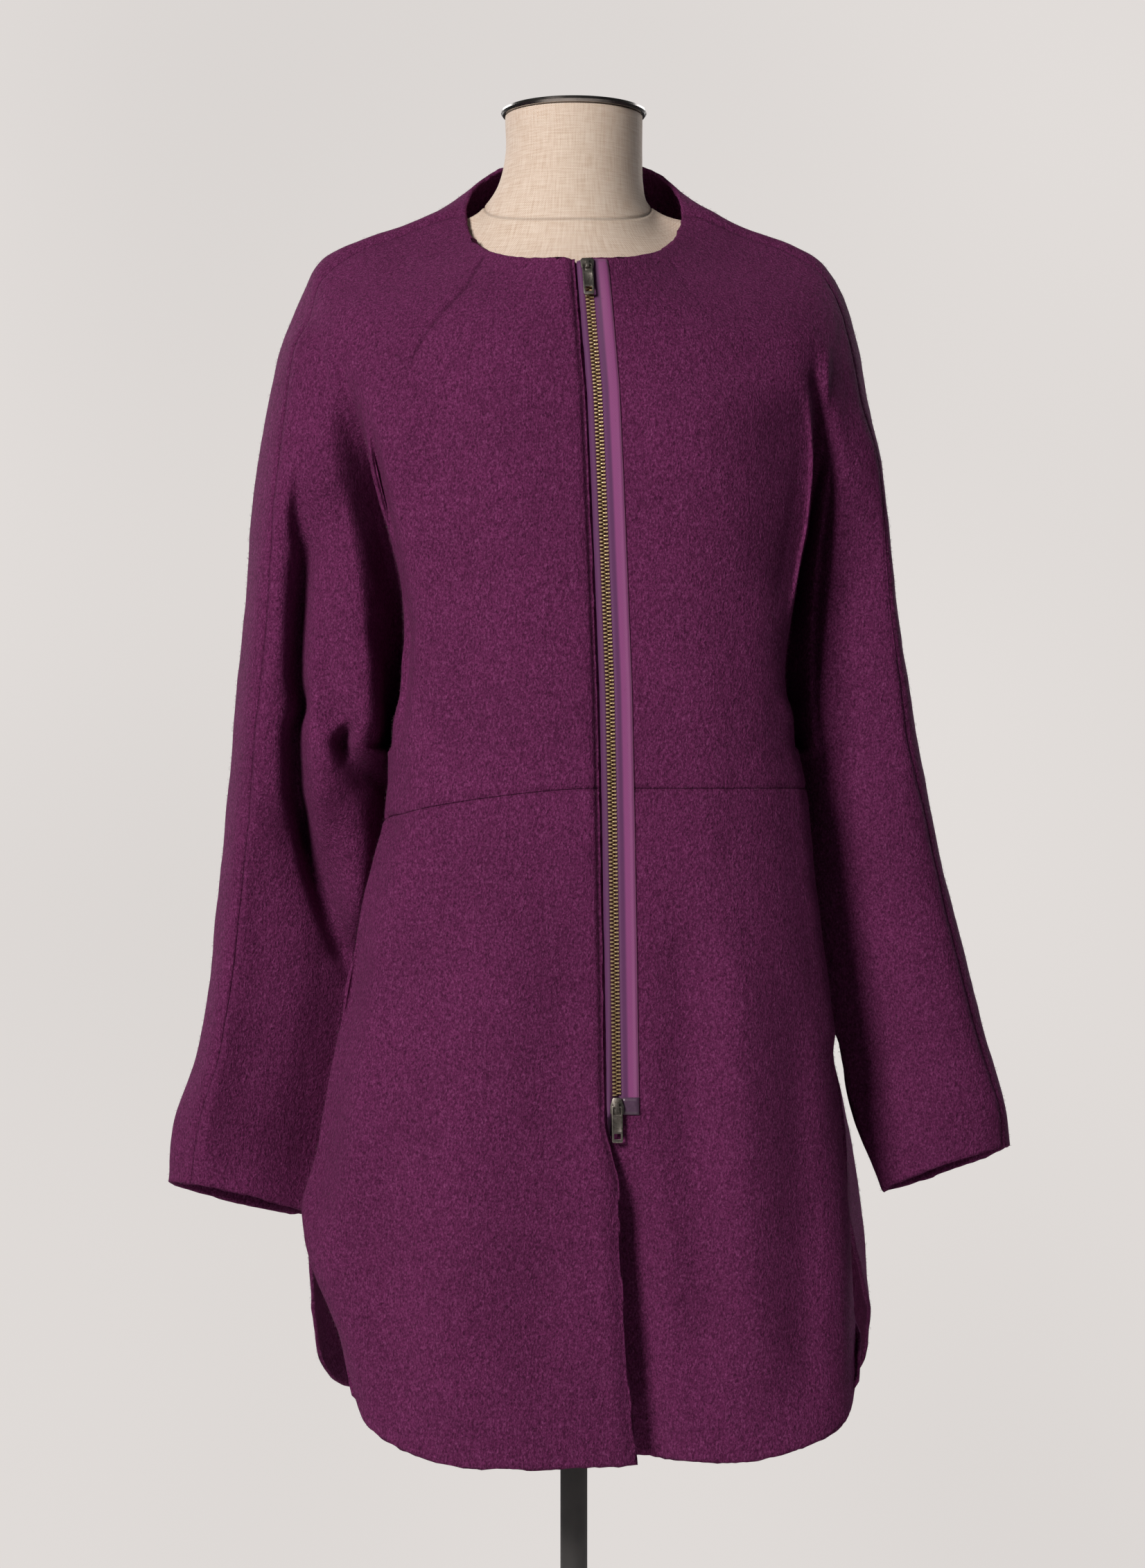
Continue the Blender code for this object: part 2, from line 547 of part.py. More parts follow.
class Panel:
    """A cut piece of cloth as a grid of quads over numbered points."""

    def __init__(self, name, side):
        self.name = name
        self.side = side
        self.points = []
        self.faces = []
        self.rows = []
        self.normals = None

    def add_grid(self, rows, columns, place, shared=None):
        """Adds a grid; the first row can be taken from points that are already there."""
        lines = []
        for row_index, row in enumerate(rows):
            if row_index == 0 and shared is not None:
                lines.append(shared)
                continue
            line = []
            for column in columns:
                line.append(len(self.points))
                self.points.append(place(row, column))
            lines.append(line)
        for upper, lower in zip(lines[:-1], lines[1:]):
            for index in range(len(columns) - 1):
                quad = (upper[index], lower[index], lower[index + 1], upper[index + 1])
                self.faces.append(quad if self.side == "left" else quad[::-1])
        return lines


def column_places(first, last):
    """Grid places of the columns between two knots."""
    return [place for place in spread(COLUMN_STEPS) if first - 1e-9 <= place <= last + 1e-9]


def front_panel(net, side):
    """Upper front with its sleeve front, from collar to waist seam and cuff."""
    panel = Panel("front_" + side, side)
    columns = column_places(0, 7)
    grid = panel.add_grid(spread(YOKE_STEPS), columns, net.on_yoke)
    body_end = columns.index(3.0) + 1
    arm_start = columns.index(4.0)
    bodice = panel.add_grid(spread(BODICE_STEPS), columns[:body_end], net.on_front, grid[-1][:body_end])
    panel.rows = grid + bodice[1:]
    panel.add_grid(spread(ARM_STEPS), columns[arm_start:], net.on_arm, grid[-1][arm_start:])
    return panel


def back_panel(net, side):
    """Back half with its sleeve back, from collar to hem and cuff."""
    panel = Panel("back_" + side, side)
    columns = column_places(7, 14)
    grid = panel.add_grid(spread(YOKE_STEPS), columns, net.on_yoke)
    arm_end = columns.index(10.0) + 1
    body_start = columns.index(11.0)
    panel.add_grid(spread(ARM_STEPS), columns[:arm_end], net.on_arm, grid[-1][:arm_end])
    hem = float(len(SECTIONS[side]))

    def place(row, column):
        row, column = round_corner(row, column, hem, 11.0, BACK_CORNER, 1.0)
        return net.on_back(row, column)

    panel.add_grid(spread(BODICE_STEPS + SKIRT_STEPS), columns[body_start:], place, grid[-1][body_start:])
    return panel


def skirt_panel(net, side):
    """Lower front, from waist seam to hem."""
    panel = Panel("skirt_" + side, side)
    hem = float(len(SECTIONS[side]))

    def place(row, column):
        row, column = round_corner(row, column, hem, 3.0, FRONT_CORNER, -1.0)
        return net.on_front(row, column)

    panel.rows = panel.add_grid(spread(SKIRT_STEPS, 1.0), column_places(0, 3), place)
    return panel


def weld_normals(panels):
    """Outward normal at every point of every panel, shared where panels meet at a seam."""
    sums = {}
    keys = []
    for panel in panels:
        points = np.array(panel.points)
        panel_keys = [tuple(np.round(point * 1e5).astype(int)) for point in points]
        keys.append(panel_keys)
        for face in panel.faces:
            corner = points[list(face)]
            normal = np.cross(corner[2] - corner[0], corner[3] - corner[1])
            for index in face:
                sums[panel_keys[index]] = sums.get(panel_keys[index], np.zeros(3)) + normal
    result = []
    for panel_keys in keys:
        normals = np.array([sums[key] for key in panel_keys])
        result.append(normals / np.linalg.norm(normals, axis=1)[:, None])
    return result


def fold_shift(points, normals):
    """Points moved along their normals by the largest folds of the front."""
    moved = points.copy()
    facing = np.clip(-normals[:, 1], 0.0, 1.0)
    for fold in FOLDS:
        start = np.array((fold.x0, fold.z0))
        run = np.array((fold.x1, fold.z1)) - start
        away = points[:, [0, 2]] - start
        share = np.clip(away @ run / (run @ run), 0.0, 1.0)
        gap = np.linalg.norm(away - share[:, None] * run, axis=1)
        depth = fold.depth * np.exp(-(gap / fold.half_width) ** 2) * facing
        moved += depth[:, None] * normals
    return moved


def boundary_edges(faces):
    """Edges that only one face uses, in that face's direction."""
    used = {}
    for face in faces:
        for first, second in zip(face, face[1:] + face[:1]):
            used[(first, second)] = True
    return [edge for edge in used if (edge[1], edge[0]) not in used]


def seam_inset(points, faces, normals):
    """Points with the piece's rim drawn in by half the seam gap."""
    toward = np.zeros_like(points)
    for face in faces:
        centre = points[list(face)].mean(axis=0)
        for index in face:
            toward[index] += centre - points[index]
    along = np.zeros_like(points)
    rim = set()
    for first, second in boundary_edges(faces):
        direction = points[second] - points[first]
        direction = direction / np.linalg.norm(direction)
        along[first] += direction
        along[second] += direction
        rim.update((first, second))
    moved = points.copy()
    for index in rim:
        step = toward[index]
        axis = along[index]
        length = np.linalg.norm(axis)
        if length > 1.2:
            axis = axis / length
            step = step - axis * (step @ axis)
        step = step - normals[index] * (step @ normals[index])
        moved[index] += step / np.linalg.norm(step) * SEAM_GAP / 2.0
    return moved


def finish(name):
    """A material with the colour, roughness and metallic value of a piece."""
    look = next(FINISHES[key] for key in FINISHES if name.startswith(key))
    material = bpy.data.materials.new(name)
    material.use_nodes = True
    shader = material.node_tree.nodes["Principled BSDF"]
    shader.inputs["Base Color"].default_value = (look.red, look.green, look.blue, 1.0)
    shader.inputs["Roughness"].default_value = look.roughness
    shader.inputs["Metallic"].default_value = look.metallic
    return material


def add_mesh(name, mesh):
    """A new object for a mesh, with its own material."""
    item = bpy.data.objects.new(name, mesh)
    bpy.context.scene.collection.objects.link(item)
    mesh.materials.append(finish(name))
    return item


def add_object(name, points, faces):
    """A new object from points and faces."""
    mesh = bpy.data.meshes.new(name)
    mesh.from_pydata([tuple(float(v) for v in point) for point in points], [], [tuple(f) for f in faces])
    mesh.validate()
    return add_mesh(name, mesh)


RIM_ORDER = np.array((0.37, 0.21, 1.0))


def add_wall(name, outer, inner, faces):
    """A closed wall between an outer and an inner copy of the same grid, cut into triangles alike."""
    count = len(outer)
    points = np.vstack((outer, inner))
    solid = []
    for a, b, c, d in faces:
        if np.linalg.norm(outer[a] - outer[c]) <= np.linalg.norm(outer[b] - outer[d]):
            halves = ((a, b, c), (a, c, d))
        else:
            halves = ((a, b, d), (b, c, d))
        for half in halves:
            solid.append(half)
            solid.append(tuple(index + count for index in reversed(half)))
    for first, second in boundary_edges(faces):
        low_first = outer[first] @ RIM_ORDER < outer[second] @ RIM_ORDER
        under_first = first + count
        under_second = second + count
        if low_first:
            solid += [(second, first, under_second), (first, under_first, under_second)]
        else:
            solid += [(second, first, under_first), (second, under_first, under_second)]
    return add_object(name, points, solid)


def open_pocket(panel, points):
    """Lifts the skirt's side edge a little along the pocket opening."""
    moved = points.copy()
    for row in panel.rows:
        index = row[-1]
        share = (points[index][2] - POCKET_BOTTOM) / (POCKET_TOP - POCKET_BOTTOM)
        if 0.0 < share < 1.0:
            moved[index] += panel.normals[index] * POCKET_GAPE * math.sin(math.pi * share)
    return moved


def build_cloth(nets):
    """All six cloth panels as solid walls; the panels are returned by name."""
    panels = []
    for side in ("right", "left"):
        panels.append(front_panel(nets[side], side))
        panels.append(back_panel(nets[side], side))
        panels.append(skirt_panel(nets[side], side))
    for panel, normals in zip(panels, weld_normals(panels)):
        panel.points = fold_shift(np.array(panel.points), normals)
    for panel, normals in zip(panels, weld_normals(panels)):
        panel.normals = normals
        points = panel.points
        if panel.name.startswith("skirt"):
            points = open_pocket(panel, points)
        outer = seam_inset(points, panel.faces, normals)
        add_wall(panel.name, outer, outer - CLOTH * normals, panel.faces)
    return {panel.name: panel for panel in panels}


def strip_wall(name, front_rows, back_rows, flip):
    """A closed strip from rows of front points and rows of back points."""
    across = len(front_rows[0])
    faces = []
    for row in range(len(front_rows) - 1):
        for column in range(across - 1):
            first = row * across + column
            quad = (first, first + across, first + across + 1, first + 1)
            faces.append(quad[::-1] if flip else quad)
    front = np.array(front_rows).reshape(-1, 3)
    back = np.array(back_rows).reshape(-1, 3)
    return add_wall(name, front, back, faces)


Frame = namedtuple("Frame", "edge across down out")


def edge_frames(front, skirt):
    """Edge point, crossways, downward and outward directions down a front's closing edge."""
    spots = [(front.points[row[0]], front.points[row[1]], front.normals[row[0]]) for row in front.rows]
    spots += [(skirt.points[row[0]], skirt.points[row[1]], skirt.normals[row[0]]) for row in skirt.rows[1:]]
    frames = []
    for index, (edge, inner, out) in enumerate(spots):
        upper = spots[max(index - 1, 0)][0]
        lower = spots[max(index, 1)][0]
        across = (inner - edge) / np.linalg.norm(inner - edge)
        down = (lower - upper) / np.linalg.norm(lower - upper)
        frames.append(Frame(edge, across, down, out))
    return frames


def blend(first, second, share):
    """A frame part of the way between two others."""
    parts = [a + (b - a) * share for a, b in zip(first, second)]
    units = [part / np.linalg.norm(part) for part in parts[1:]]
    return Frame(parts[0], *units)


def frame_at(frames, z):
    """The frame where the closing edge crosses a height."""
    for above, below in zip(frames[:-1], frames[1:]):
        if above.edge[2] >= z >= below.edge[2]:
            return blend(above, below, (above.edge[2] - z) / (above.edge[2] - below.edge[2]))
    raise ValueError("the height is off the closing edge")


def frames_between(frames, top_z, end_z):
    """The frames between two heights, with one at each."""
    inside = [frame for frame in frames if top_z - 0.004 > frame.edge[2] > end_z + 0.004]
    return [frame_at(frames, top_z)] + inside + [frame_at(frames, end_z)]


def square_up(frame):
    """The frame of the zip's middle line, level across, with directions at right angles."""
    across = np.array((1.0, 0.0, 0.0))
    across = across - frame.down * (across @ frame.down)
    across = across / np.linalg.norm(across)
    middle = frame.edge - across * EDGE_SHIFT["left"][0]
    return Frame(middle, across, frame.down, np.cross(frame.down, across))


def build_tapes(left, right):
    """Both zip tapes: one lies on the left front, one passes under the right front's edge."""
    front, back = [], []
    for frame in left:
        places = [frame.edge + frame.across * (reach - EDGE_SHIFT["left"][0]) for reach in (TAPE_NEAR, TAPE_FAR)]
        front.append([place + frame.out * (TAPE_LIFT + TAPE_THICK) for place in places])
        back.append([place + frame.out * TAPE_LIFT for place in places])
    strip_wall("zip_tape_left", front, back, False)
    front, back = [], []
    under = CLOTH + 2.0 * TAPE_LIFT
    for frame, other in zip(right, left):
        middle = square_up(other)
        path = (
            frame.edge + frame.across * TAPE_HIDDEN - frame.out * under,
            frame.edge - frame.across * TAPE_TURN - frame.out * under,
            middle.edge - middle.across * TAPE_NEAR + middle.out * TAPE_LIFT,
        )
        front.append(path)
        back.append([place - frame.out * TAPE_THICK for place in path])
    strip_wall("zip_tape_right", front, back, False)


def build_chain(frames):
    """The closed row of teeth as one plain bar."""
    front, back = [], []
    for frame in frames:
        middle = square_up(frame)
        sides = [middle.edge + middle.across * reach for reach in (-CHAIN_HALF, CHAIN_HALF)]
        front.append([place + middle.out * CHAIN_FRONT for place in sides])
        back.append([place + middle.out * CHAIN_BACK for place in sides])
    strip_wall("zip_chain", front, back, False)


def place_in(item, frame):
    """Puts an object made in zip axes (x to the viewer's left, y down, z out) onto the coat."""
    matrix = Matrix.Identity(4)
    for row in range(3):
        matrix[row][0] = -frame.across[row]
        matrix[row][1] = frame.down[row]
        matrix[row][2] = frame.out[row]
        matrix[row][3] = frame.edge[row]
    item.matrix_world = matrix


def add_prism(outline, bottom, top):
    """A mesh block from an outline in the zip's plane."""
    block = bmesh.new()
    lower = [block.verts.new((x, y, bottom)) for x, y in outline]
    face = block.faces.new(lower)
    raised = bmesh.ops.extrude_face_region(block, geom=[face])
    moved = [part for part in raised["geom"] if isinstance(part, bmesh.types.BMVert)]
    bmesh.ops.translate(block, verts=moved, vec=(0.0, 0.0, top - bottom))
    bmesh.ops.recalc_face_normals(block, faces=block.faces)
    return block


def box_outline(x0, x1, y0, y1):
    """Corners of a rectangle."""
    return ((x0, y0), (x1, y0), (x1, y1), (x0, y1))


def add_from_block(name, block):
    """Turns a mesh block into a named object with its own material."""
    mesh = bpy.data.meshes.new(name)
    block.to_mesh(mesh)
    block.free()
    return add_mesh(name, mesh)


def join_blocks(name, parts):
    """Unites several blocks into one object."""
    target = add_from_block(name, parts[0])
    for index, block in enumerate(parts[1:]):
        tool = add_from_block(name + "_tool_" + str(index), block)
        boolean(target, tool, "UNION")
    return target


def boolean(target, tool, operation):
    """Applies one exact boolean and removes the tool."""
    tool.hide_render = True
    tool.display_type = "WIRE"
    modifier = target.modifiers.new(operation.lower(), "BOOLEAN")
    modifier.object = tool
    modifier.operation = operation
    modifier.solver = "EXACT"
    apply_modifiers(target)
    bpy.data.objects.remove(tool)


def apply_modifiers(item):
    """Replaces an object's mesh by its evaluated mesh."""
    graph = bpy.context.evaluated_depsgraph_get()
    mesh = bpy.data.meshes.new_from_object(item.evaluated_get(graph))
    item.modifiers.clear()
    item.data = mesh


def build_slider(name, frame, upside_down):
    """Slider: a shield-shaped front plate, the wedge between the tapes and an arched bridge."""
    half = SLIDER_WIDE / 2.0
    tip = TIP_WIDE / 2.0
    turn = -1.0 if upside_down else 1.0
    top = -SLIDER_LONG / 2.0
    bottom = SLIDER_LONG / 2.0
    contour = (
        (half * 0.72, top),
        (half, top + CORNER_LONG),
        (half, top + SHOULDER_LONG),
        (tip, bottom - TIP_LONG),
        (tip * 0.8, bottom),
    )
    shield = [(x, y * turn) for x, y in contour]
    shield += [(-x, y * turn) for x, y in reversed(contour)]
    low = SLIDER_LIFT
    high = SLIDER_LIFT + SLIDER_THICK
    plate = add_prism(shield, low, high)
    core_outline = box_outline(-CORE_WIDE / 2.0, CORE_WIDE / 2.0, -CORE_LONG / 2.0, CORE_LONG / 2.0)
    core = add_prism(core_outline, CHAIN_BACK, low + SINK)
    bar = BRIDGE_BAR
    wide = BRIDGE_WIDE / 2.0
    long = BRIDGE_LONG / 2.0
    crown = high + BRIDGE_TALL
    foot_a = add_prism(box_outline(-wide, wide, -long, -long + bar), high - SINK, crown)
    foot_b = add_prism(box_outline(-wide, wide, long - bar, long), high - SINK, crown)
    arch = add_prism(box_outline(-wide, wide, -long, long), crown - bar, crown)
    item = join_blocks(name, [plate, core, foot_a, foot_b, arch])
    place_in(item, frame)
    return item


def pull_axis_height():
    """Height of the pull's crossbar above the zip's middle line."""
    return SLIDER_LIFT + SLIDER_THICK + 0.5 * (BRIDGE_TALL - BRIDGE_BAR)


def build_pull(name, slider):
    """Pull tab: crossbar and rails through the bridge, then a plate with a recess and a hole.

    Its origin is the middle of the crossbar, on the hinge line.
    """
    half = PULL_WIDE / 2.0
    rail = PULL_RAIL
    high = PULL_THICK / 2.0
    through = 2.0 * PULL_THICK
    start = -rail / 2.0
    corner = PULL_CORNER
    contour = (
        (half - corner, start),
        (half, start + corner),
        (half, PULL_LONG - corner),
        (half - corner, PULL_LONG),
    )
    outline = [(x, y) for x, y in contour] + [(-x, y) for x, y in reversed(contour)]
    item = add_from_block(name, add_prism(outline, -high, high))
    inner = half - rail
    hole = PULL_HOLE_WIDE / 2.0
    cuts = (
        (box_outline(-inner, inner, rail / 2.0, PULL_EYE), -through),
        (box_outline(-hole, hole, PULL_HOLE_TOP, PULL_HOLE_BOTTOM), -through),
        (box_outline(-inner, inner, PULL_PANEL_TOP, PULL_PANEL_BOTTOM), high - PULL_RECESS),
    )
    for index, (cut_outline, bottom) in enumerate(cuts):
        tool = add_from_block(name + "_cut_" + str(index), add_prism(cut_outline, bottom, through))
        boolean(item, tool, "DIFFERENCE")
    item.parent = slider
    item.location = (0.0, 0.0, pull_axis_height())
    return item


def build_facing(skirt):
    """Strip behind a pocket opening, made from the skirt's points moved inward."""
    front, back = [], []
    for row in skirt.rows:
        if not POCKET_BOTTOM - 0.02 < skirt.points[row[-1]][2] < POCKET_TOP + 0.02:
            continue
        corners = row[-3:]
        edge = skirt.points[corners[-1]]
        pulled = edge + (skirt.points[corners[-2]] - edge) * FACING_PULL
        places = [skirt.points[corners[0]], skirt.points[corners[1]], pulled]
        outs = [skirt.normals[index] for index in corners]
        front.append([place - out * FACING_DEPTH for place, out in zip(places, outs)])
        back.append([place - out * (FACING_DEPTH + FACING_THICK) for place, out in zip(places, outs)])
    strip_wall("pocket_facing_" + skirt.side, front, back, skirt.side == "right")


def torso_ring(row):
    """Points of one ring of the dress form."""
    power = 2.0 / row.square
    points = []
    for step in range(TORSO_ROUND):
        angle = 2.0 * math.pi * step / TORSO_ROUND
        sine = math.sin(angle)
        cosine = math.cos(angle)
        x = math.copysign(row.half_width * abs(sine) ** power, sine)
        depth = row.front_y if cosine > 0.0 else -row.back_y
        y = math.copysign(abs(cosine) ** power, cosine) * depth
        turn = math.degrees(math.acos(max(-1.0, min(1.0, cosine))))
        if turn <= 90.0:
            z = row.front_z + (row.side_z - row.front_z) * (turn / 90.0) ** row.rise
        else:
            z = row.back_z + (row.side_z - row.back_z) * ((180.0 - turn) / 90.0) ** row.rise
        points.append((x, y, z))
    return points


def build_torso():
    """Smooth whole torso with its neck, closed at both ends."""
    points = []
    faces = []
    for row in TORSO:
        points += torso_ring(row)
    for level in range(len(TORSO) - 1):
        for step in range(TORSO_ROUND):
            following = (step + 1) % TORSO_ROUND
            upper = level * TORSO_ROUND
            lower = upper + TORSO_ROUND
            faces.append((upper + step, lower + step, lower + following, upper + following))
    base = (len(TORSO) - 1) * TORSO_ROUND
    faces.append(tuple(range(TORSO_ROUND)))
    faces.append(tuple(reversed(range(base, base + TORSO_ROUND))))
    add_object("form_torso", points, faces)


def build_turned(name, profile, lift):
    """A turned solid from a profile of radius and height."""
    block = bmesh.new()
    corners = [block.verts.new((radius, 0.0, height + lift)) for radius, height in profile]
    edges = [block.edges.new(pair) for pair in zip(corners[:-1], corners[1:])]
    bmesh.ops.spin(
        block,
        geom=corners + edges,
        cent=(0.0, 0.0, 0.0),
        axis=(0.0, 0.0, 1.0),
        angle=2.0 * math.pi,
        steps=TURN_STEPS,
        use_merge=True,
    )
    bmesh.ops.remove_doubles(block, verts=block.verts, dist=0.00001)
    bmesh.ops.recalc_face_normals(block, faces=block.faces)
    return add_from_block(name, block)


def build_stand():
    """Neck cap, pole and base."""
    build_turned("neck_cap", CAP_PROFILE, TORSO[0].side_z + REST_GAP)
    build_turned("base", BASE_PROFILE, 0.0)
    low = BASE_PROFILE[-1][1] + REST_GAP
    high = TORSO[-1].side_z - REST_GAP
    block = bmesh.new()
    bmesh.ops.create_cone(
        block,
        cap_ends=True,
        segments=POLE_SIDES,
        radius1=POLE_RADIUS,
        radius2=POLE_RADIUS,
        depth=high - low,
        matrix=Matrix.Translation(Vector((0.0, 0.0, 0.5 * (low + high)))),
    )
    add_from_block("pole", block)


def main():
    """Clears the scene and builds every solid."""
    for item in list(bpy.data.objects):
        bpy.data.objects.remove(item)
    nets = {side: CoatSide(side) for side in ("right", "left")}
    panels = build_cloth(nets)
    left = edge_frames(panels["front_left"], panels["skirt_left"])
    right = edge_frames(panels["front_right"], panels["skirt_right"])
    top_z = left[0].edge[2] - ZIP_TOP_DROP
    build_tapes(frames_between(left, top_z, ZIP_END_Z), frames_between(right, top_z, ZIP_END_Z))
    reach = SLIDER_LONG + SEAM_GAP
    build_chain(frames_between(left, top_z - reach, ZIP_END_Z + reach))
    half = SLIDER_LONG / 2.0
    for name, z, upside_down in (("top", top_z - half, False), ("bottom", ZIP_END_Z + half, True)):
        frame = square_up(frame_at(left, z))
        slider = build_slider("slider_" + name, frame, upside_down)
        pull = build_pull("pull_" + name, slider)
        bpy.context.view_layer.update()
        place = pull.matrix_world
        print(pull.name, "hinge at", place.translation, "along", place.to_3x3().col[0])
    for side in ("right", "left"):
        build_facing(panels["skirt_" + side])
    build_torso()
    build_stand()


main()
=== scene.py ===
"""Looks of a boiled-wool zip coat on a limbless dress form with a stand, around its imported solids.

Metres, +Z up, +X to the viewer's right, front towards -Y. Right and left are the wearer's.
"""
import math
from collections import namedtuple
from functools import lru_cache

import bmesh
import bpy
import numpy as np
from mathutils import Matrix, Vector, noise
from mathutils.kdtree import KDTree


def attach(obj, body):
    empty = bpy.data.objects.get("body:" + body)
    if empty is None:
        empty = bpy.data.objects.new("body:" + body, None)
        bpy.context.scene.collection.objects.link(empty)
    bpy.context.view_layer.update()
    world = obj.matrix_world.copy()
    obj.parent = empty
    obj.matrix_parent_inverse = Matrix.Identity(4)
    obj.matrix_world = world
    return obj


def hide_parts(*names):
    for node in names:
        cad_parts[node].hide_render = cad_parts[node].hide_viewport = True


bl_info = {
    "name": "Boiled-wool coat on a dress form",
    "version": (1, 0, 0),
    "blender": (4, 5, 0),
    "location": "View3D > Sidebar > Coat",
    "description": "Cloth shells, zip, dress form, stand and stage of a dolman-sleeved wool coat",
    "category": "Object",
}

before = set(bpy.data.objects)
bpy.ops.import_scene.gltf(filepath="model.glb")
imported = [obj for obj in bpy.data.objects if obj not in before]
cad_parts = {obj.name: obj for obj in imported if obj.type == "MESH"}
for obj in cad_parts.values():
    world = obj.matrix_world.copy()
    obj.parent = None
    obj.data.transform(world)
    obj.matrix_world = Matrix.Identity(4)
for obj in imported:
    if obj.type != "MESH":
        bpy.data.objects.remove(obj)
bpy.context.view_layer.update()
COAT_BODY = "coat_and_form"
PULL_BODIES = {"pull_top": "top_pull", "pull_bottom": "bottom_pull"}

# Cloth
CLOTH = 0.003
SEAM_GAP = 0.0003
SIGN = {"right": -1.0, "left": 1.0}
MIRROR_X = np.array((-1.0, 1.0, 1.0))

# Closing line of the zip, seen from the front: height, distance to the viewer's right
CLOSING = (
    (0.500, 0.0430),
    (0.560, 0.0370),
    (0.650, 0.0315),
    (0.743, 0.0300),
    (0.940, 0.0270),
    (1.040, 0.0250),
    (1.180, 0.0195),
    (1.250, 0.0165),
    (1.344, 0.0090),
)
# Where each front's edge lies beside the closing line, along the zip and at the hem lap
EDGE_SHIFT = {"right": (-0.0080, 0.0015), "left": (0.0033, -0.0330)}
LAP_TOP = 0.743
LAP_FULL = 0.690
# How far each front's edge stands forward beside the zip
EDGE_LIFT = {"right": 0.0015, "left": 0.0}

# Rings round the neck and shoulders, from the collar edge to just below the shoulder tip
Yoke = namedtuple(
    "Yoke", "front_z side_z back_z front_y back_y half_right half_left square rise seam_right seam_left"
)
YOKE = (
    Yoke(1.348, 1.402, 1.456, -0.1000, 0.080, 0.0800, 0.0800, 2.0, 2.7, 86.0, 86.0),
    Yoke(1.334, 1.399, 1.430, -0.1060, 0.090, 0.0980, 0.0980, 2.0, 2.7, 86.0, 86.0),
    Yoke(1.318, 1.387, 1.399, -0.1120, 0.099, 0.1270, 0.1250, 2.1, 2.6, 86.0, 86.0),
    Yoke(1.300, 1.376, 1.376, -0.1180, 0.107, 0.1600, 0.1560, 2.2, 2.4, 85.0, 86.0),
    Yoke(1.280, 1.362, 1.352, -0.1235, 0.113, 0.1880, 0.1820, 2.3, 2.2, 80.0, 84.0),
    Yoke(1.258, 1.337, 1.325, -0.1285, 0.118, 0.2015, 0.1985, 2.3, 2.0, 73.0, 80.0),
)
# Turn of a yoke ring's knots from the closing line (0) to the centre back (180), degrees
FRONT_TURNS = (0.0, 28.0, 48.0)
BACK_TURNS = (106.0, 119.0, 125.0, 138.0, 152.0, 180.0)
# Shares of the way from the front edge knot to the shoulder seam
SHOULDER_SHARES = (0.30, 0.44, 0.64, 0.82, 1.0)
BACK_RISE = 1.9

# Rings below the shoulder, where the sleeve folds away from the body in a deep groove
Lobe = namedtuple(
    "Lobe",
    "front_z side_z back_z front_y back_y edge_x edge_y groove_x groove_front groove_back "
    "crest_x crest_y arm_x arm_y arm_a arm_b",
)
LOBES = {
    "right": (
        Lobe(1.232, 1.297, 1.293, -0.1325, 0.122, 0.150, -0.107, 0.170, -0.084, 0.080,
             0.180, -0.076, 0.170, -0.005, 0.0460, 0.066),
        Lobe(1.200, 1.245, 1.250, -0.1355, 0.125, 0.149, -0.112, 0.164, -0.064, 0.075,
             0.181, -0.077, 0.178, -0.006, 0.0495, 0.069),
        Lobe(1.165, 1.185, 1.190, -0.1380, 0.127, 0.140, -0.113, 0.153, -0.047, 0.067,
             0.175, -0.081, 0.185, -0.007, 0.0515, 0.072),
        Lobe(1.115, 1.115, 1.115, -0.1395, 0.1275, 0.123, -0.112, 0.141, -0.035, 0.056,
             0.163, -0.086, 0.189, -0.008, 0.0525, 0.074),
        Lobe(1.055, 1.055, 1.055, -0.1410, 0.128, 0.127, -0.110, 0.140, -0.022, 0.041,
             0.156, -0.088, 0.194, -0.007, 0.0530, 0.073),
        Lobe(1.018, 1.018, 1.018, -0.1420, 0.1285, 0.129, -0.109, 0.142, -0.010, 0.028,
             0.158, -0.086, 0.198, -0.007, 0.0525, 0.072),
        Lobe(1.000, 1.000, 1.000, -0.1425, 0.129, 0.129, -0.108, 0.143, 0.009, 0.009,
             0.162, -0.080, 0.200, -0.006, 0.0520, 0.070),
    ),
    "left": (
        Lobe(1.232, 1.297, 1.293, -0.1325, 0.122, 0.163, -0.098, 0.178, -0.075, 0.080,
             0.186, -0.067, 0.168, -0.003, 0.0425, 0.062),
        Lobe(1.200, 1.245, 1.250, -0.1355, 0.125, 0.168, -0.097, 0.176, -0.060, 0.075,
             0.188, -0.064, 0.175, -0.003, 0.0445, 0.064),
        Lobe(1.165, 1.185, 1.190, -0.1380, 0.127, 0.166, -0.098, 0.170, -0.045, 0.067,
             0.186, -0.062, 0.180, -0.003, 0.0465, 0.066),
        Lobe(1.115, 1.115, 1.115, -0.1395, 0.1275, 0.156, -0.102, 0.160, -0.034, 0.056,
             0.181, -0.062, 0.184, -0.003, 0.0475, 0.066),
        Lobe(1.055, 1.055, 1.055, -0.1410, 0.128, 0.147, -0.105, 0.153, -0.022, 0.041,
             0.178, -0.061, 0.191, -0.002, 0.0480, 0.065),
        Lobe(1.018, 1.018, 1.018, -0.1420, 0.1285, 0.149, -0.106, 0.156, -0.010, 0.028,
             0.180, -0.060, 0.196, -0.002, 0.0475, 0.064),
        Lobe(1.000, 1.000, 1.000, -0.1425, 0.129, 0.150, -0.106, 0.158, 0.009, 0.009,
             0.182, -0.058, 0.1990, -0.002, 0.0470, 0.063),
    ),
}
# Share of the way from front height to side height at each knot from closing line to outer arm
LOBE_RISE = (0.0, 0.06, 0.25, 0.42, 0.48, 0.60, 0.75, 0.90, 1.0)
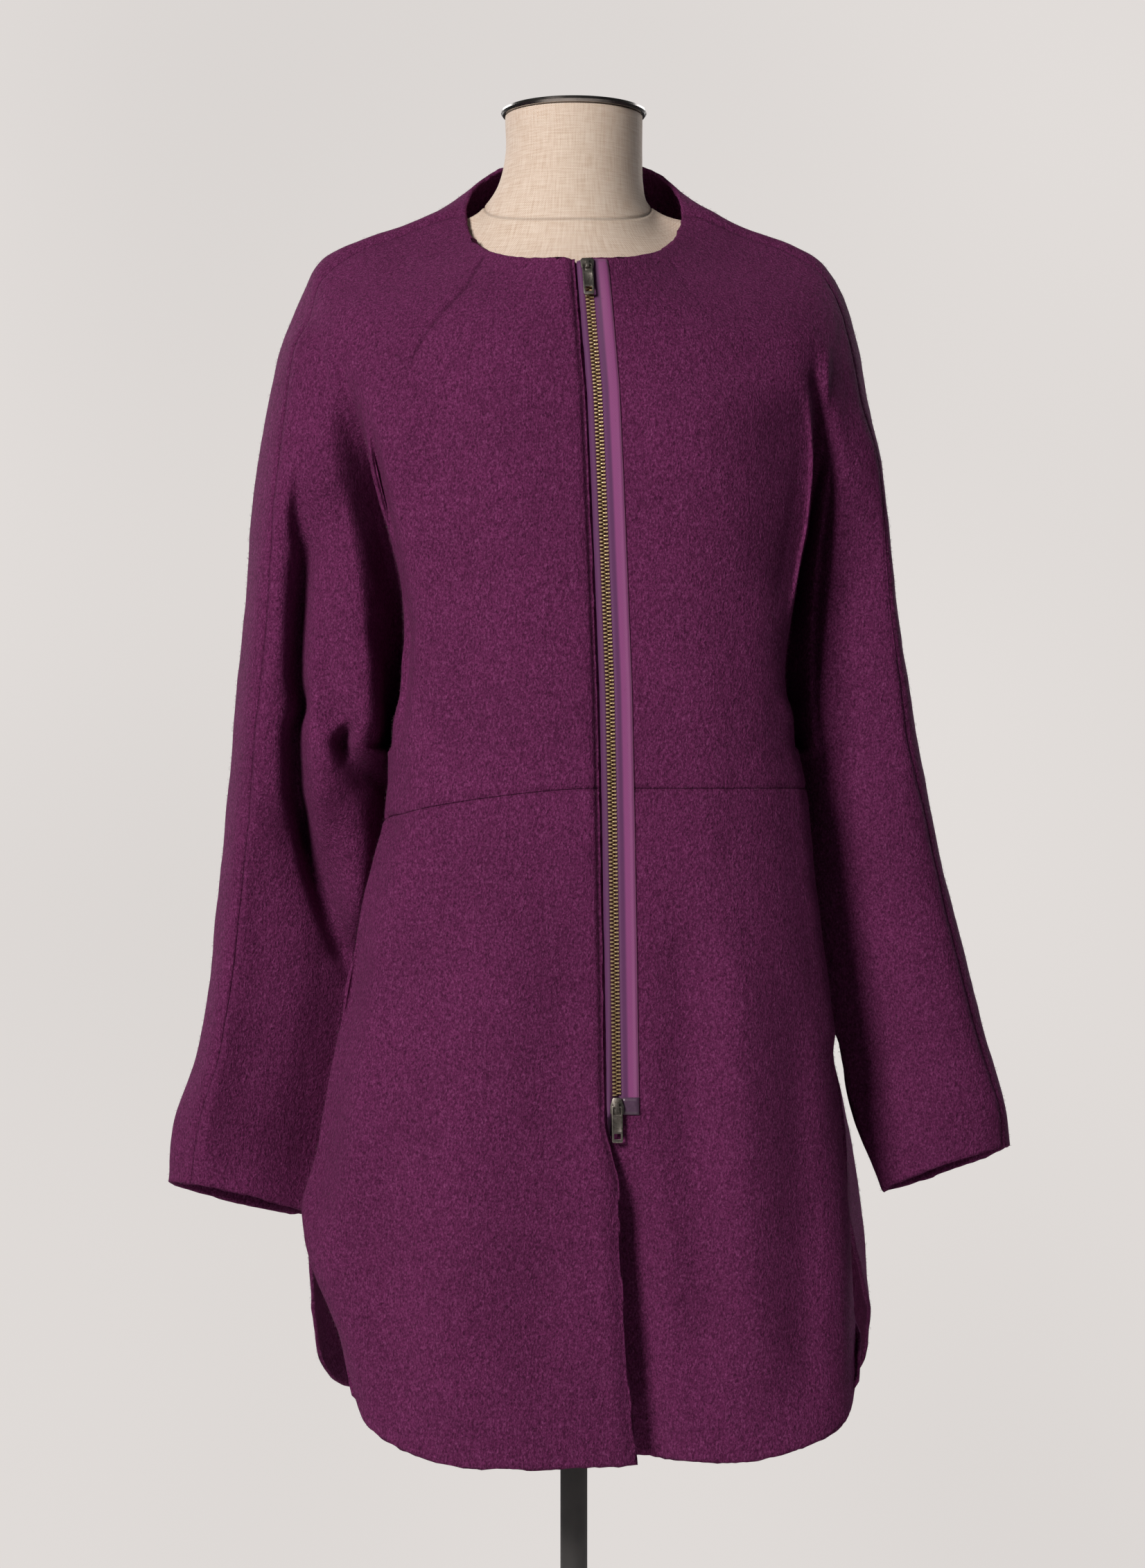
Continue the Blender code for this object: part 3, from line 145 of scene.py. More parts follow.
# Turn of the overarm seam round the sleeve from its outer line, degrees
SEAM_TURN = {"right": 52.0, "left": 34.0}
LOBE_SEAM_TURNS = {"right": (45.0, 50.0, 52.0, 52.0, 52.0, 52.0, 52.0), "left": (34.0,) * 7}
CREST_TURN = 112.0
ARM_BACK_TURN = -100.0
LOBE_BACK_TURNS = (-55.0, -64.0, -73.0, -82.0, -90.0, -95.0, -98.0)
# Half width of the groove's bottom and of the bridge at the underarm point, and the knots down there
GROOVE_HALF = 0.004
GROOVE_KNOTS = (3, 4, 10, 11)
# How the middle of a front falls back, the web beside the sleeve swells, and the back bends at its corners
MID_FALL = 0.10
WEB_SWELL = (0.05, 0.16)
LOBE_BACK_X = 0.105
LOBE_BACK_RISE = (0.2, 0.45, 0.55, 0.7, 0.85, 1.0)
BACK_BEND = 0.87
FLANK_IN = 0.97
FLANK_BACK = 0.55
CORNER_IN = 0.74

# Sleeve below the underarm point, from there to the cuff; tilt is how far its front hangs above its back
Arm = namedtuple("Arm", "outer_z inner_z x y half_width half_depth tilt")
ARMS = {
    "right": (
        Arm(0.950, 0.950, 0.2015, -0.003, 0.0555, 0.064, 0.0),
        Arm(0.890, 0.890, 0.2085, -0.004, 0.0545, 0.059, 0.0),
        Arm(0.830, 0.830, 0.2160, -0.008, 0.0520, 0.053, 0.0),
        Arm(0.772, 0.770, 0.2272, -0.013, 0.0513, 0.047, 0.004),
        Arm(0.724, 0.715, 0.2402, -0.018, 0.0533, 0.042, 0.012),
        Arm(0.679, 0.656, 0.2485, -0.020, 0.0495, 0.036, 0.018),
    ),
    "left": (
        Arm(0.950, 0.950, 0.2117, -0.003, 0.0448, 0.060, 0.0),
        Arm(0.892, 0.888, 0.2217, -0.006, 0.0478, 0.056, 0.0),
        Arm(0.836, 0.826, 0.2347, -0.011, 0.0488, 0.051, 0.0),
        Arm(0.780, 0.764, 0.2480, -0.016, 0.0500, 0.045, 0.004),
        Arm(0.738, 0.714, 0.2610, -0.022, 0.0500, 0.039, 0.011),
        Arm(0.706, 0.673, 0.2725, -0.024, 0.0465, 0.033, 0.016),
    ),
}

# Body below the underarm point, from the waist seam to the hem
Section = namedtuple(
    "Section",
    "front_z side_z back_z front_y edge_x edge_y side_x side_y slit_x slit_y flank_x flank_y back_y",
)
SECTIONS = {
    "right": (
        Section(0.970, 0.944, 0.955, -0.1445, 0.133, -0.108, 0.140, -0.004, 0.0, 0.0, 0.142, 0.060, 0.130),
        Section(0.895, 0.890, 0.895, -0.1470, 0.149, -0.108, 0.149, -0.006, 0.0, 0.0, 0.150, 0.062, 0.136),
        Section(0.820, 0.820, 0.820, -0.1505, 0.163, -0.108, 0.161, -0.008, 0.0, 0.0, 0.162, 0.066, 0.143),
        Section(0.740, 0.740, 0.740, -0.1545, 0.179, -0.110, 0.177, -0.010, 0.0, 0.0, 0.177, 0.072, 0.150),
        Section(0.660, 0.660, 0.660, -0.1590, 0.185, -0.116, 0.193, -0.016, 0.0, 0.0, 0.190, 0.080, 0.157),
        Section(0.580, 0.580, 0.580, -0.1625, 0.160, -0.130, 0.173, -0.072, 0.024, 0.096,
                0.190, 0.094, 0.163),
        Section(0.502, 0.502, 0.502, -0.1640, 0.134, -0.146, 0.158, -0.104, 0.034, 0.150,
                0.178, 0.108, 0.168),
    ),
    "left": (
        Section(0.970, 0.970, 0.955, -0.1425, 0.156, -0.105, 0.160, -0.015, 0.0, 0.0, 0.148, 0.060, 0.130),
        Section(0.895, 0.895, 0.895, -0.1450, 0.164, -0.105, 0.168, -0.028, 0.0, 0.0, 0.160, 0.062, 0.136),
        Section(0.820, 0.820, 0.820, -0.1470, 0.174, -0.104, 0.180, -0.042, 0.0, 0.0, 0.176, 0.066, 0.143),
        Section(0.740, 0.740, 0.740, -0.1465, 0.184, -0.104, 0.192, -0.052, 0.0, 0.0, 0.197, 0.072, 0.150),
        Section(0.660, 0.660, 0.660, -0.1430, 0.189, -0.107, 0.199, -0.056, 0.0, 0.0, 0.213, 0.076, 0.157),
        Section(0.580, 0.580, 0.580, -0.1400, 0.187, -0.122, 0.201, -0.078, 0.021, 0.098,
                0.217, 0.086, 0.163),
        Section(0.502, 0.502, 0.502, -0.1390, 0.182, -0.132, 0.204, -0.088, 0.020, 0.140,
                0.204, 0.104, 0.168),
    ),
}
# Forward swell of the skirt between closing line and side, per section row from waist to hem
SKIRT_SWELL = {
    "right": (0.0, 0.001, 0.002, 0.004, 0.006, 0.009, 0.012),
    "left": (0.0, 0.000, 0.000, 0.002, 0.006, 0.010, 0.014),
}
MID_SHARE = {"right": 0.52, "left": 0.58}

# Largest folds: x and z of the start and end seen from the front, half width, depth (minus is a trough)
Fold = namedtuple("Fold", "x0 z0 x1 z1 half_width depth")
FOLDS = (
    Fold(-0.200, 1.140, -0.207, 1.030, 0.014, -0.010),
    Fold(-0.207, 1.030, -0.200, 0.940, 0.014, -0.011),
    Fold(-0.200, 0.940, -0.178, 0.850, 0.014, -0.009),
    Fold(-0.168, 1.015, -0.140, 0.975, 0.014, -0.010),
)

# Hem corners: how far the rounding reaches along the hem and up the slit, in knots of the net
FRONT_CORNER = (0.70, 0.64)
BACK_CORNER = (1.30, 1.45)

# Pocket openings in the side seams
POCKET_TOP = 0.805
POCKET_BOTTOM = 0.668
POCKET_GAPE = 0.0035

# Pocket facings: past the slit's ends, depth under the cloth's outside, thickness, share of the last column
FACING_PAST = 0.020
FACING_DEPTH = 0.0036
FACING_THICK = 0.0015
FACING_SHARE = 0.6

# Zip
CHAIN_HALF = 0.0029
TAPE_THICK = 0.0007
TAPE_LIFT = 0.0003
TAPE_NEAR = 0.0034
TAPE_FAR = 0.0155
TAPE_HIDDEN = 0.0070
TAPE_TURN = 0.0010
ZIP_TOP_DROP = 0.0025
ZIP_END_Z = 0.743
SLIDER_LONG = 0.0120
SLIDER_CLEAR = 0.0003
# Points of a front's row, counted from its edge, among which places under the tape are found
EDGE_POINTS = 16
# Steps down the tape, the reach over which the zip's own direction is read, and the bend of its tail
TAPE_STEP = 0.003
FRAME_REACH = 0.006
TAIL_BEND = 0.006

# Dress form: torso rings from the neck top to the closed bottom
Ring = namedtuple("Ring", "front_z side_z back_z front_y back_y half_width square rise")
TORSO = (
    Ring(1.4680, 1.4680, 1.4680, -0.0510, 0.0510, 0.0510, 2.0, 2.0),
    Ring(1.4400, 1.4400, 1.4400, -0.0508, 0.0508, 0.0508, 2.0, 2.0),
    Ring(1.4120, 1.4180, 1.4240, -0.0515, 0.0515, 0.0515, 2.0, 2.0),
    Ring(1.3920, 1.4050, 1.4140, -0.0545, 0.0540, 0.0545, 2.0, 2.2),
    Ring(1.3660, 1.3960, 1.4030, -0.0630, 0.0600, 0.0660, 2.0, 3.0),
    Ring(1.3450, 1.3895, 1.3880, -0.0780, 0.0690, 0.0900, 2.0, 3.6),
    Ring(1.3250, 1.3828, 1.3690, -0.0900, 0.0770, 0.1230, 2.1, 3.0),
    Ring(1.3050, 1.3716, 1.3470, -0.0980, 0.0840, 0.1550, 2.2, 2.7),
    Ring(1.2830, 1.3570, 1.3220, -0.1030, 0.0890, 0.1750, 2.3, 2.5),
    Ring(1.2620, 1.3300, 1.2980, -0.1070, 0.0920, 0.1770, 2.3, 2.3),
    Ring(1.2350, 1.2850, 1.2650, -0.1100, 0.0940, 0.1650, 2.3, 2.2),
    Ring(1.2000, 1.2200, 1.2150, -0.1130, 0.0950, 0.1460, 2.3, 2.0),
    Ring(1.1500, 1.1500, 1.1500, -0.1120, 0.0920, 0.1310, 2.2, 2.0),
    Ring(1.1000, 1.1000, 1.1000, -0.1020, 0.0860, 0.1190, 2.2, 2.0),
    Ring(1.0400, 1.0400, 1.0400, -0.0900, 0.0800, 0.1090, 2.1, 2.0),
    Ring(1.0000, 1.0000, 1.0000, -0.0890, 0.0820, 0.1100, 2.1, 2.0),
    Ring(0.9400, 0.9400, 0.9400, -0.0940, 0.0940, 0.1180, 2.1, 2.0),
    Ring(0.8600, 0.8600, 0.8600, -0.1020, 0.1100, 0.1300, 2.1, 2.0),
    Ring(0.8000, 0.8000, 0.8000, -0.1030, 0.1130, 0.1350, 2.1, 2.0),
    Ring(0.7500, 0.7500, 0.7500, -0.1000, 0.1090, 0.1330, 2.1, 2.0),
    Ring(0.7300, 0.7300, 0.7300, -0.0950, 0.1040, 0.1280, 2.1, 2.0),
    Ring(0.7220, 0.7220, 0.7220, -0.0860, 0.0950, 0.1190, 2.1, 2.0),
)

# Stand
REST_GAP = 0.0003
CAP_PROFILE = (
    (0.0, 0.0),
    (0.0500, 0.0),
    (0.0528, 0.0006),
    (0.0540, 0.0024),
    (0.0536, 0.0040),
    (0.0515, 0.0050),
    (0.0460, 0.0056),
    (0.0440, 0.0050),
    (0.0300, 0.0062),
    (0.0120, 0.0068),
    (0.0, 0.0068),
)
POLE_RADIUS = 0.0100
POLE_CHAMFER = 0.0005
BASE_PROFILE = (
    (0.0, 0.0),
    (0.1760, 0.0),
    (0.1800, 0.0020),
    (0.1800, 0.0070),
    (0.1770, 0.0095),
    (0.0280, 0.0140),
    (0.0220, 0.0160),
    (0.0, 0.0160),
)

# Camera of the photograph: place, focal length in millimetres, sensor on the long side, furthest sight
CAMERA_PLACE = (-0.001, -2.307, 0.973)
CAMERA_LENS = 71.3
CAMERA_SENSOR = 36.0
CAMERA_SIGHT = 20.0

# Metals: finish, bright and dark colour, roughness, size of the patches of patina
Metal = namedtuple("Metal", "finish bright dark roughness grain")
METALS = {
    "brass_teeth": Metal("brass_antique_stamped", "brass_bright", "brass_dark", 0.46, 0.0011),
    "gunmetal": Metal("zinc_alloy_gunmetal_plated", "gunmetal", "gunmetal_dark", 0.31, 0.0024),
    "dark_chrome": Metal("steel_dark_chrome_polished", "chrome", "chrome_dark", 0.20, 0.030),
}

# Mesh steps between knots, from closing line to centre back, and between rows
COLUMN_STEPS = (28, 30, 26, 3, 20, 18, 14, 10, 16, 12, 3, 13, 14, 22)
YOKE_STEPS = (10, 13, 13, 13, 13, 12, 12, 13, 16, 15, 10, 6)
ARM_STEPS = (13, 14, 14, 14, 12, 12)
BODICE_STEPS = (12,)
SKIRT_STEPS = (17, 17, 18, 18, 18, 18)
# Extra places close to a sewn or free edge, in knots
EDGE_COLUMNS = (0.009, 0.021, 0.046, 0.058)
SEAM_COLUMNS = (0.025, 0.065)
SEAM_ROWS = (0.013, 0.034)

# How a sewn edge rolls down into its seam, and how a free edge is rounded
SEAM_SINK = 0.0010
SEAM_REACH = 0.0022
# Painted shade along the sewn seams: how dark, and half its width
PAINTED_SEAM_SHADE = 0.24
PAINTED_SEAM_SHADE_HALF = 0.0011
RIM_ROUND = 0.0011
RIM_FUZZ = 0.0007
RIM_FUZZ_WIDE = 0.0045
RIM_WAVE = 0.0014
RIM_WAVE_WIDE = 0.016
# Length of two unit steps added up, above which a rim counts as running straight on
RIM_STRAIGHT = 1.2
STITCH_INSET = 0.0030
STITCH_HALF = 0.0010
STITCH_DEPTH = 0.0015
# Painted shade along the edge stitching
PAINTED_STITCH_SHADE = 0.70
EDGE_PRESS = 0.0028
EDGE_PRESS_HALF = 0.0045
EDGE_PRESS_START = 0.015
LAP_ROLL = 0.0045
LAP_ROLL_WIDE = 0.0120
LAP_ROLL_START = 0.045
LAP_SET_BACK = 0.0145
LAP_SET_BACK_DROP = 0.012
LAP_SET_BACK_START = 0.070
LAP_VALLEY = 0.0260
HEM_CURVE_LONG = 0.110
HEM_CURVE_HIGH = 0.052
HEM_CURVE_REACH = 0.170
HEM_CURVE_BEND = 0.7
HEM_TOP = 0.551
HEM_STEP = 0.0006
HEM_STEP_WIDE = 0.006
# Painted shade along the top of the turned-up hem: how dark, and half its width
PAINTED_HEM_SHADE = 0.10
PAINTED_HEM_SHADE_HALF = 0.0014

# Neck darts, seen from the front: x and z from the neckline to the point
DART_PATH = {
    "right": ((-0.0660, 1.352), (-0.0785, 1.326), (-0.0925, 1.310), (-0.1075, 1.289), (-0.1255, 1.250)),
    "left": ((0.0690, 1.352), (0.0820, 1.326), (0.0960, 1.309), (0.1110, 1.288), (0.1280, 1.250)),
}
DART_HALF = 0.0013
DART_FADE = 0.25
DART_DEPTH = {"right": 0.0009, "left": 0.0004}
# Painted shade along each dart
PAINTED_DART_SHADE = {"right": 0.38, "left": 0.10}

# Finer creases: path seen from the front, half widths to the viewer's left and right, depth,
# which way the cloth faces there (1 front, -1 back, 0 sideways, 2 for a plain shift to the viewer's
# right), and the share of the way over which the crease comes in and dies away
Crease = namedtuple("Crease", "path near far depth facing fade", defaults=(0.22,))
CREASES = (
    # The long valley down the right sleeve, between its outer strip and the drooping web
    Crease(((-0.199, 1.215), (-0.202, 1.140), (-0.207, 1.060), (-0.209, 1.015), (-0.207, 0.966),
            (-0.196, 0.917), (-0.184, 0.869), (-0.170, 0.800)), 0.0038, 0.0120, -0.026, 1),
    Crease(((-0.205, 1.150), (-0.208, 1.060), (-0.209, 1.015), (-0.205, 0.958), (-0.190, 0.890)),
           0.0036, 0.0100, -0.014, 1),
    # The right sleeve hangs flat with its outer edge forward and its inner side back, and the web lies back
    Crease(((-0.228, 1.220), (-0.232, 1.140), (-0.237, 1.060), (-0.240, 1.000), (-0.246, 0.930),
            (-0.252, 0.870), (-0.260, 0.800), (-0.270, 0.730), (-0.278, 0.665)), 0.0150, 0.0150, 0.0120, 1),
    Crease(((-0.184, 0.970), (-0.194, 0.880), (-0.203, 0.810), (-0.211, 0.740), (-0.216, 0.640)),
           0.0450, 0.0300, -0.0240, 1),
    Crease(((-0.184, 1.200), (-0.181, 1.110), (-0.178, 1.040), (-0.176, 0.990)), 0.0160, 0.0200, -0.0170, 1),
    # The hooked pinch under the web, the folded edge below it and the gap beside the body
    Crease(((-0.155, 1.014), (-0.163, 1.011), (-0.1695, 1.001), (-0.1665, 0.990), (-0.1565, 0.973),
            (-0.147, 0.960), (-0.128, 0.930)), 0.0050, 0.0070, -0.028, 1),
    Crease(((-0.163, 0.975), (-0.163, 0.940), (-0.166, 0.900), (-0.171, 0.850)), 0.0100, 0.0050, 0.0090, 1),
    Crease(((-0.1500, 0.995), (-0.1510, 0.949), (-0.1530, 0.924), (-0.1590, 0.886), (-0.1630, 0.861),
            (-0.1750, 0.780)), 0.0042, 0.0120, -0.030, 1),
    # The gap between the web and the right front, and the groove between the left front and its sleeve
    Crease(((-0.158, 1.250), (-0.150, 1.210), (-0.141, 1.167), (-0.133, 1.120), (-0.128, 1.082),
            (-0.131, 1.045), (-0.136, 0.980)), 0.0100, 0.0060, -0.028, 1),
    Crease(((0.184, 1.235), (0.179, 1.180), (0.171, 1.110), (0.166, 1.050), (0.169, 0.985), (0.172, 0.930)),
           0.0075, 0.0090, -0.021, 1),
    # The left sleeve hangs flat with its outer edge forward and its inner side back
    Crease(((0.190, 1.230), (0.186, 1.150), (0.182, 1.060), (0.186, 0.960), (0.198, 0.870), (0.212, 0.790),
            (0.226, 0.720), (0.236, 0.640)), 0.0280, 0.0400, -0.0240, 1),
    Crease(((0.232, 1.230), (0.242, 1.120), (0.252, 1.010), (0.268, 0.900), (0.288, 0.800), (0.310, 0.700)),
           0.0240, 0.0180, 0.0110, 1),
    # The edges of both fronts fall back towards the sleeves
    Crease(((0.170, 1.270), (0.171, 1.210), (0.168, 1.150), (0.160, 1.080)), 0.0380, 0.0080, -0.0150, 1),
    Crease(((-0.166, 0.890), (-0.176, 0.820), (-0.184, 0.760), (-0.190, 0.700), (-0.196, 0.640)),
           0.0160, 0.0140, -0.0220, 1),
    # Sleeves pressed against the body below the underarms
    Crease(((-0.143, 1.040), (-0.1425, 0.950), (-0.1515, 0.890), (-0.1615, 0.830), (-0.1733, 0.772),
            (-0.184, 0.720), (-0.196, 0.650)), 0.0120, 0.0120, 0.0046, 0, 0.07),
    Crease(((0.158, 1.040), (0.1645, 0.950), (0.1715, 0.890), (0.1815, 0.830), (0.190, 0.780)),
           0.0120, 0.0120, 0.0042, 0, 0.07),
    # The fold between the right sleeve and the body, moved bodily towards the middle
    Crease(((-0.172, 1.290), (-0.168, 1.225), (-0.152, 1.155), (-0.136, 1.080), (-0.140, 1.020),
            (-0.148, 0.970), (-0.156, 0.930), (-0.168, 0.880), (-0.182, 0.800),
            (-0.190, 0.730), (-0.198, 0.640)),
           0.0220, 0.0260, 0.0105, 2, 0.12),
    # The overarm seam of the left sleeve, moved out towards its edge
    Crease(((0.205, 1.260), (0.2126, 1.208), (0.2257, 1.102), (0.2596, 0.904), (0.2737, 0.853),
            (0.2913, 0.783), (0.3073, 0.715), (0.3120, 0.690)), 0.0220, 0.0120, 0.0080, 2, 0.10),
    # Flutes of the left skirt beside the zip
    Crease(((0.074, 0.930), (0.080, 0.760), (0.086, 0.620), (0.090, 0.500)), 0.0160, 0.0200, -0.0066, 1),
    Crease(((0.112, 0.900), (0.122, 0.720), (0.130, 0.505)), 0.0200, 0.0200, 0.0060, 1),
    Crease(((0.152, 0.860), (0.160, 0.700), (0.164, 0.505)), 0.0140, 0.0140, -0.0050, 1),
    # Soft flutes of the right skirt
    Crease(((-0.010, 0.900), (-0.016, 0.720), (-0.026, 0.505)), 0.0240, 0.0240, -0.0036, 1),
    Crease(((-0.080, 0.800), (-0.088, 0.650), (-0.094, 0.505)), 0.0260, 0.0260, 0.0040, 1),
    Crease(((-0.122, 0.760), (-0.132, 0.640), (-0.128, 0.510)), 0.0200, 0.0200, -0.0034, 1),
    # Drag lines from the arm groove across the chest
    Crease(((-0.118, 1.150), (-0.100, 1.210), (-0.088, 1.262)), 0.0200, 0.0200, -0.0024, 1),
    # Hanging folds of the back
    Crease(((-0.062, 1.180), (-0.070, 0.980), (-0.082, 0.760), (-0.090, 0.505)),
           0.0260, 0.0300, -0.0050, -1),
    Crease(((0.058, 1.160), (0.066, 0.960), (0.074, 0.740), (0.086, 0.505)), 0.0300, 0.0260, -0.0055, -1),
    Crease(((0.006, 1.060), (-0.006, 0.860), (-0.004, 0.640), (0.008, 0.505)), 0.0300, 0.0300, 0.0050, -1),
    Crease(((-0.130, 0.980), (-0.138, 0.760), (-0.142, 0.560)), 0.0220, 0.0240, 0.0040, -1),
    Crease(((0.134, 0.960), (0.146, 0.740), (0.152, 0.560)), 0.0240, 0.0220, 0.0045, -1),
    Crease(((-0.190, 1.160), (-0.206, 1.000), (-0.216, 0.860), (-0.236, 0.730)),
           0.0140, 0.0180, -0.0050, -1),
    Crease(((0.184, 1.150), (0.202, 0.990), (0.222, 0.850), (0.250, 0.730)), 0.0180, 0.0140, -0.0045, -1),
    Crease(((-0.160, 1.230), (-0.130, 1.130), (-0.100, 1.060)), 0.0200, 0.0220, -0.0040, -1),
    Crease(((0.156, 1.230), (0.128, 1.140), (0.096, 1.070)), 0.0220, 0.0200, -0.0035, -1),
)
# Soft unevenness of hanging wool: size of a wave, height
WAVES = ((0.085, 0.0013), (0.028, 0.0006), (0.011, 0.0003))
# Stretch beside the zip that stays flat, and the stretch over which the waves come in
WAVE_CLEAR = 0.016
WAVE_RISE = 0.03
# How squarely cloth has to face sideways or forward for a crease or a sewn line to move it fully
SIDE_FACING = (3.0, 1.5)
FRONT_FACING = 1.3
EDGE_FACING = 2.0
# Points that round to the same step, with so many steps to the metre, count as one
WELD_PER_METRE = 2e4

# Width of one felted curl, drawn a little coarser than the real one so that it shows
CURL_WIDE = 0.0012

HAIR_ROOT = 0.0008
THREE_TURNS = (0.0, 2.0 * math.pi / 3.0, 4.0 * math.pi / 3.0)
# Stray fibres: shortest and longest, rise at the bend and at the tip, lean and sideways sway
FIBRE_COUNT = 15000
FIBRE_SEED = 7
FIBRE_LONG = (0.0016, 0.0042)
FIBRE_HALF = 0.00007
FIBRE_RISE = 0.30
FIBRE_TIP_RISE = 0.34
FIBRE_LEAN = 0.35
FIBRE_SWAY = 0.3
# Nap: shortest and longest, rise, least and most lean
NAP_COUNT = 48000
NAP_SEED = 11
NAP_LONG = (0.0009, 0.0026)
NAP_HALF = 0.00011
NAP_RISE = 0.75
NAP_LEAN = (0.1, 0.9)

# Zip teeth, tapes and the film on a tape's end
TOOTH_PITCH = 0.00266
TOOTH_OUTLINE = (
    (0.0030, -0.00066),
    (0.0026, -0.00086),
    (0.0014, -0.00078),
    (0.0006, -0.00062),
    (-0.0005, -0.00046),
    (-0.0005, 0.00046),
    (0.0006, 0.00062),
    (0.0014, 0.00078),
    (0.0026, 0.00086),
    (0.0030, 0.00066),
)
TOOTH_LEVELS = ((-0.0008, 0.92), (-0.0004, 1.0), (0.0006, 1.0), (0.0012, 0.86), (0.0016, 0.52))
TOOTH_ROOT = 0.0029
TAPE_SHARES = (0.0, 0.2, 0.4, 0.6, 0.8, 1.0)
TAPE_SINK = 0.0010
TAPE_MEET = 0.0002
# How far under the right front's face its tape shows, and the tape's flat map from its far edge inward
TAPE_SHOW = 0.0012
TAPE_MAP = (TAPE_FAR, 0.0098, 0.0072, TAPE_NEAR, CHAIN_HALF, 0.0)
TAIL_LONG = 0.0180
TAIL_BACK = 0.0048
TAPE_CHEVRON = 0.0118
TWILL_PITCH = 0.0011
FILM_LONG = 0.0125
FILM_LIFT = (0.00005, 0.0003)

# Sliders and pull tabs: rounding of a corner, shape of the round, gap under which points are joined
CORNER_ROUND = 0.0002
CORNER_PROFILE = 0.6
JOIN_GAP = 0.000002
# Angles in degrees: faces nearer to flat are merged, sharper edges are rounded or shaded as edges
FLAT_ANGLE = 2.0
ROUND_ANGLE = 20.0
SHARP_ANGLES = {"tooth": 50.0, "slider": 38.0, "form": 60.0, "turned": 40.0}

# Dress form
NECK_SEAM_ROW = 3.36
NECK_SEAM_HALF = 0.0009
NECK_SEAM_DEPTH = 0.0009
# Painted shade in the neck seam's groove
PAINTED_NECK_SEAM_SHADE = 0.34
# How much wider the neck spreads into the right shoulder, ring by ring from the top
NECK_SPREAD = (0.0, 0.0, 0.0045, 0.0095, 0.0070)
NECK_SPREAD_POWER = 1.5
# Radius at which the cover's threads are spaced truly
COVER_RADIUS = 0.053
FORM_ROUND = 96
FORM_STEPS = (8, 8, 8, 26, 8, 8, 8, 8, 6, 6, 6, 6, 6, 6, 6, 6, 6, 6, 5, 4, 3)
THREAD_SPACING = 0.0013
TURN_STEPS = 128

# Stage
FLOOR_RADIUS = 1.45
FLOOR_DROP = 0.0005
LIGHT_AIM = (0.0, 0.0, 1.0)
KEY_PLACE = (-1.45, -2.5, 2.20)
KEY_POWER = 86.0
KEY_SIZE = 0.9
FILL_PLACE = (2.4, -2.0, 1.6)
FILL_POWER = 1.0
FILL_SIZE = 1.8
BACK_PLACES = ((-1.7, 2.2, 2.1), (1.7, 2.2, 2.1))
BACK_POWER = 40.0
BACK_SIZE = 1.6
AIR_STRENGTH = 0.035

# Cut sizes of the cloth: width, length, area of the piece laid flat
Cut = namedtuple("Cut", "width length area")
CUTS = {
    "front_right": Cut(0.36, 0.75, 0.175),
    "front_left": Cut(0.36, 0.75, 0.175),
    "skirt_right": Cut(0.29, 0.48, 0.120),
    "skirt_left": Cut(0.29, 0.48, 0.120),
    "back_right": Cut(0.47, 1.00, 0.360),
    "back_left": Cut(0.47, 1.00, 0.360),
    "pocket_facing_right": Cut(0.053, 0.175, 0.0086),
    "pocket_facing_left": Cut(0.030, 0.175, 0.0047),
    "zip_tape_right": Cut(0.018, 0.625, 0.0112),
    "zip_tape_left": Cut(0.018, 0.605, 0.0108),
}


def closing_x(z):
    """Distance of the closing line to the viewer's right at a height."""
    heights = [row[0] for row in CLOSING]
    places = [row[1] for row in CLOSING]
    return float(np.interp(z, heights, places))


def front_edge_x(side, z):
    """Place of a front's own edge at a height: beside the zip, then at the lap below it."""
    beside_zip, at_hem = EDGE_SHIFT[side]
    share = min(max((LAP_TOP - z) / (LAP_TOP - LAP_FULL), 0.0), 1.0)
    share = share * share * (3.0 - 2.0 * share)
    return closing_x(z) + beside_zip + (at_hem - beside_zip) * share


def smooth_curves(knots, places, closed=False, level_ends=False):
    """Points on smooth curves, one through each row of knots, at places counted in knots.

    With level ends a curve starts and stops square to the x direction, as if mirrored there.
    """
    knots = np.asarray(knots, dtype=float)
    places = np.asarray(places, dtype=float)
    places = np.broadcast_to(places, (len(knots), places.shape[-1]))
    if closed:
        run = np.concatenate((knots[:, -1:], knots, knots[:, :2]), axis=1)
    elif level_ends:
        first = knots[:, 1:2] * MIRROR_X
        first[:, :, 0] += 2.0 * knots[:, :1, 0]
        last = knots[:, -2:-1] * MIRROR_X
        last[:, :, 0] += 2.0 * knots[:, -1:, 0]
        run = np.concatenate((first, knots, last), axis=1)
    else:
        first = 2.0 * knots[:, :1] - knots[:, 1:2]
        last = 2.0 * knots[:, -1:] - knots[:, -2:-1]
        run = np.concatenate((first, knots, last), axis=1)
    moves = np.diff(run, axis=1)
    spans = np.sqrt(np.linalg.norm(moves, axis=2)) + 1e-6
    slopes = moves / spans[:, :, None]
    before = spans[:, :-1, None]
    after = spans[:, 1:, None]
    tangents = (slopes[:, :-1] * after + slopes[:, 1:] * before) / (before + after)
    last_index = knots.shape[1] - 1 if closed else knots.shape[1] - 2
    index = np.clip(np.floor(places).astype(int), 0, last_index)
    share = (places - index)[:, :, None]
    rest = 1.0 - share
    span = np.take_along_axis(spans, index + 1, axis=1)[:, :, None]
    at = index[:, :, None]
    start = (1.0 + 2.0 * share) * rest ** 2 * np.take_along_axis(run, at + 1, axis=1)
    start_slope = share * rest ** 2 * span * np.take_along_axis(tangents, at, axis=1)
    end = share ** 2 * (3.0 - 2.0 * share) * np.take_along_axis(run, at + 2, axis=1)
    end_slope = share ** 2 * (share - 1.0) * span * np.take_along_axis(tangents, at + 1, axis=1)
    return start + start_slope + end + end_slope


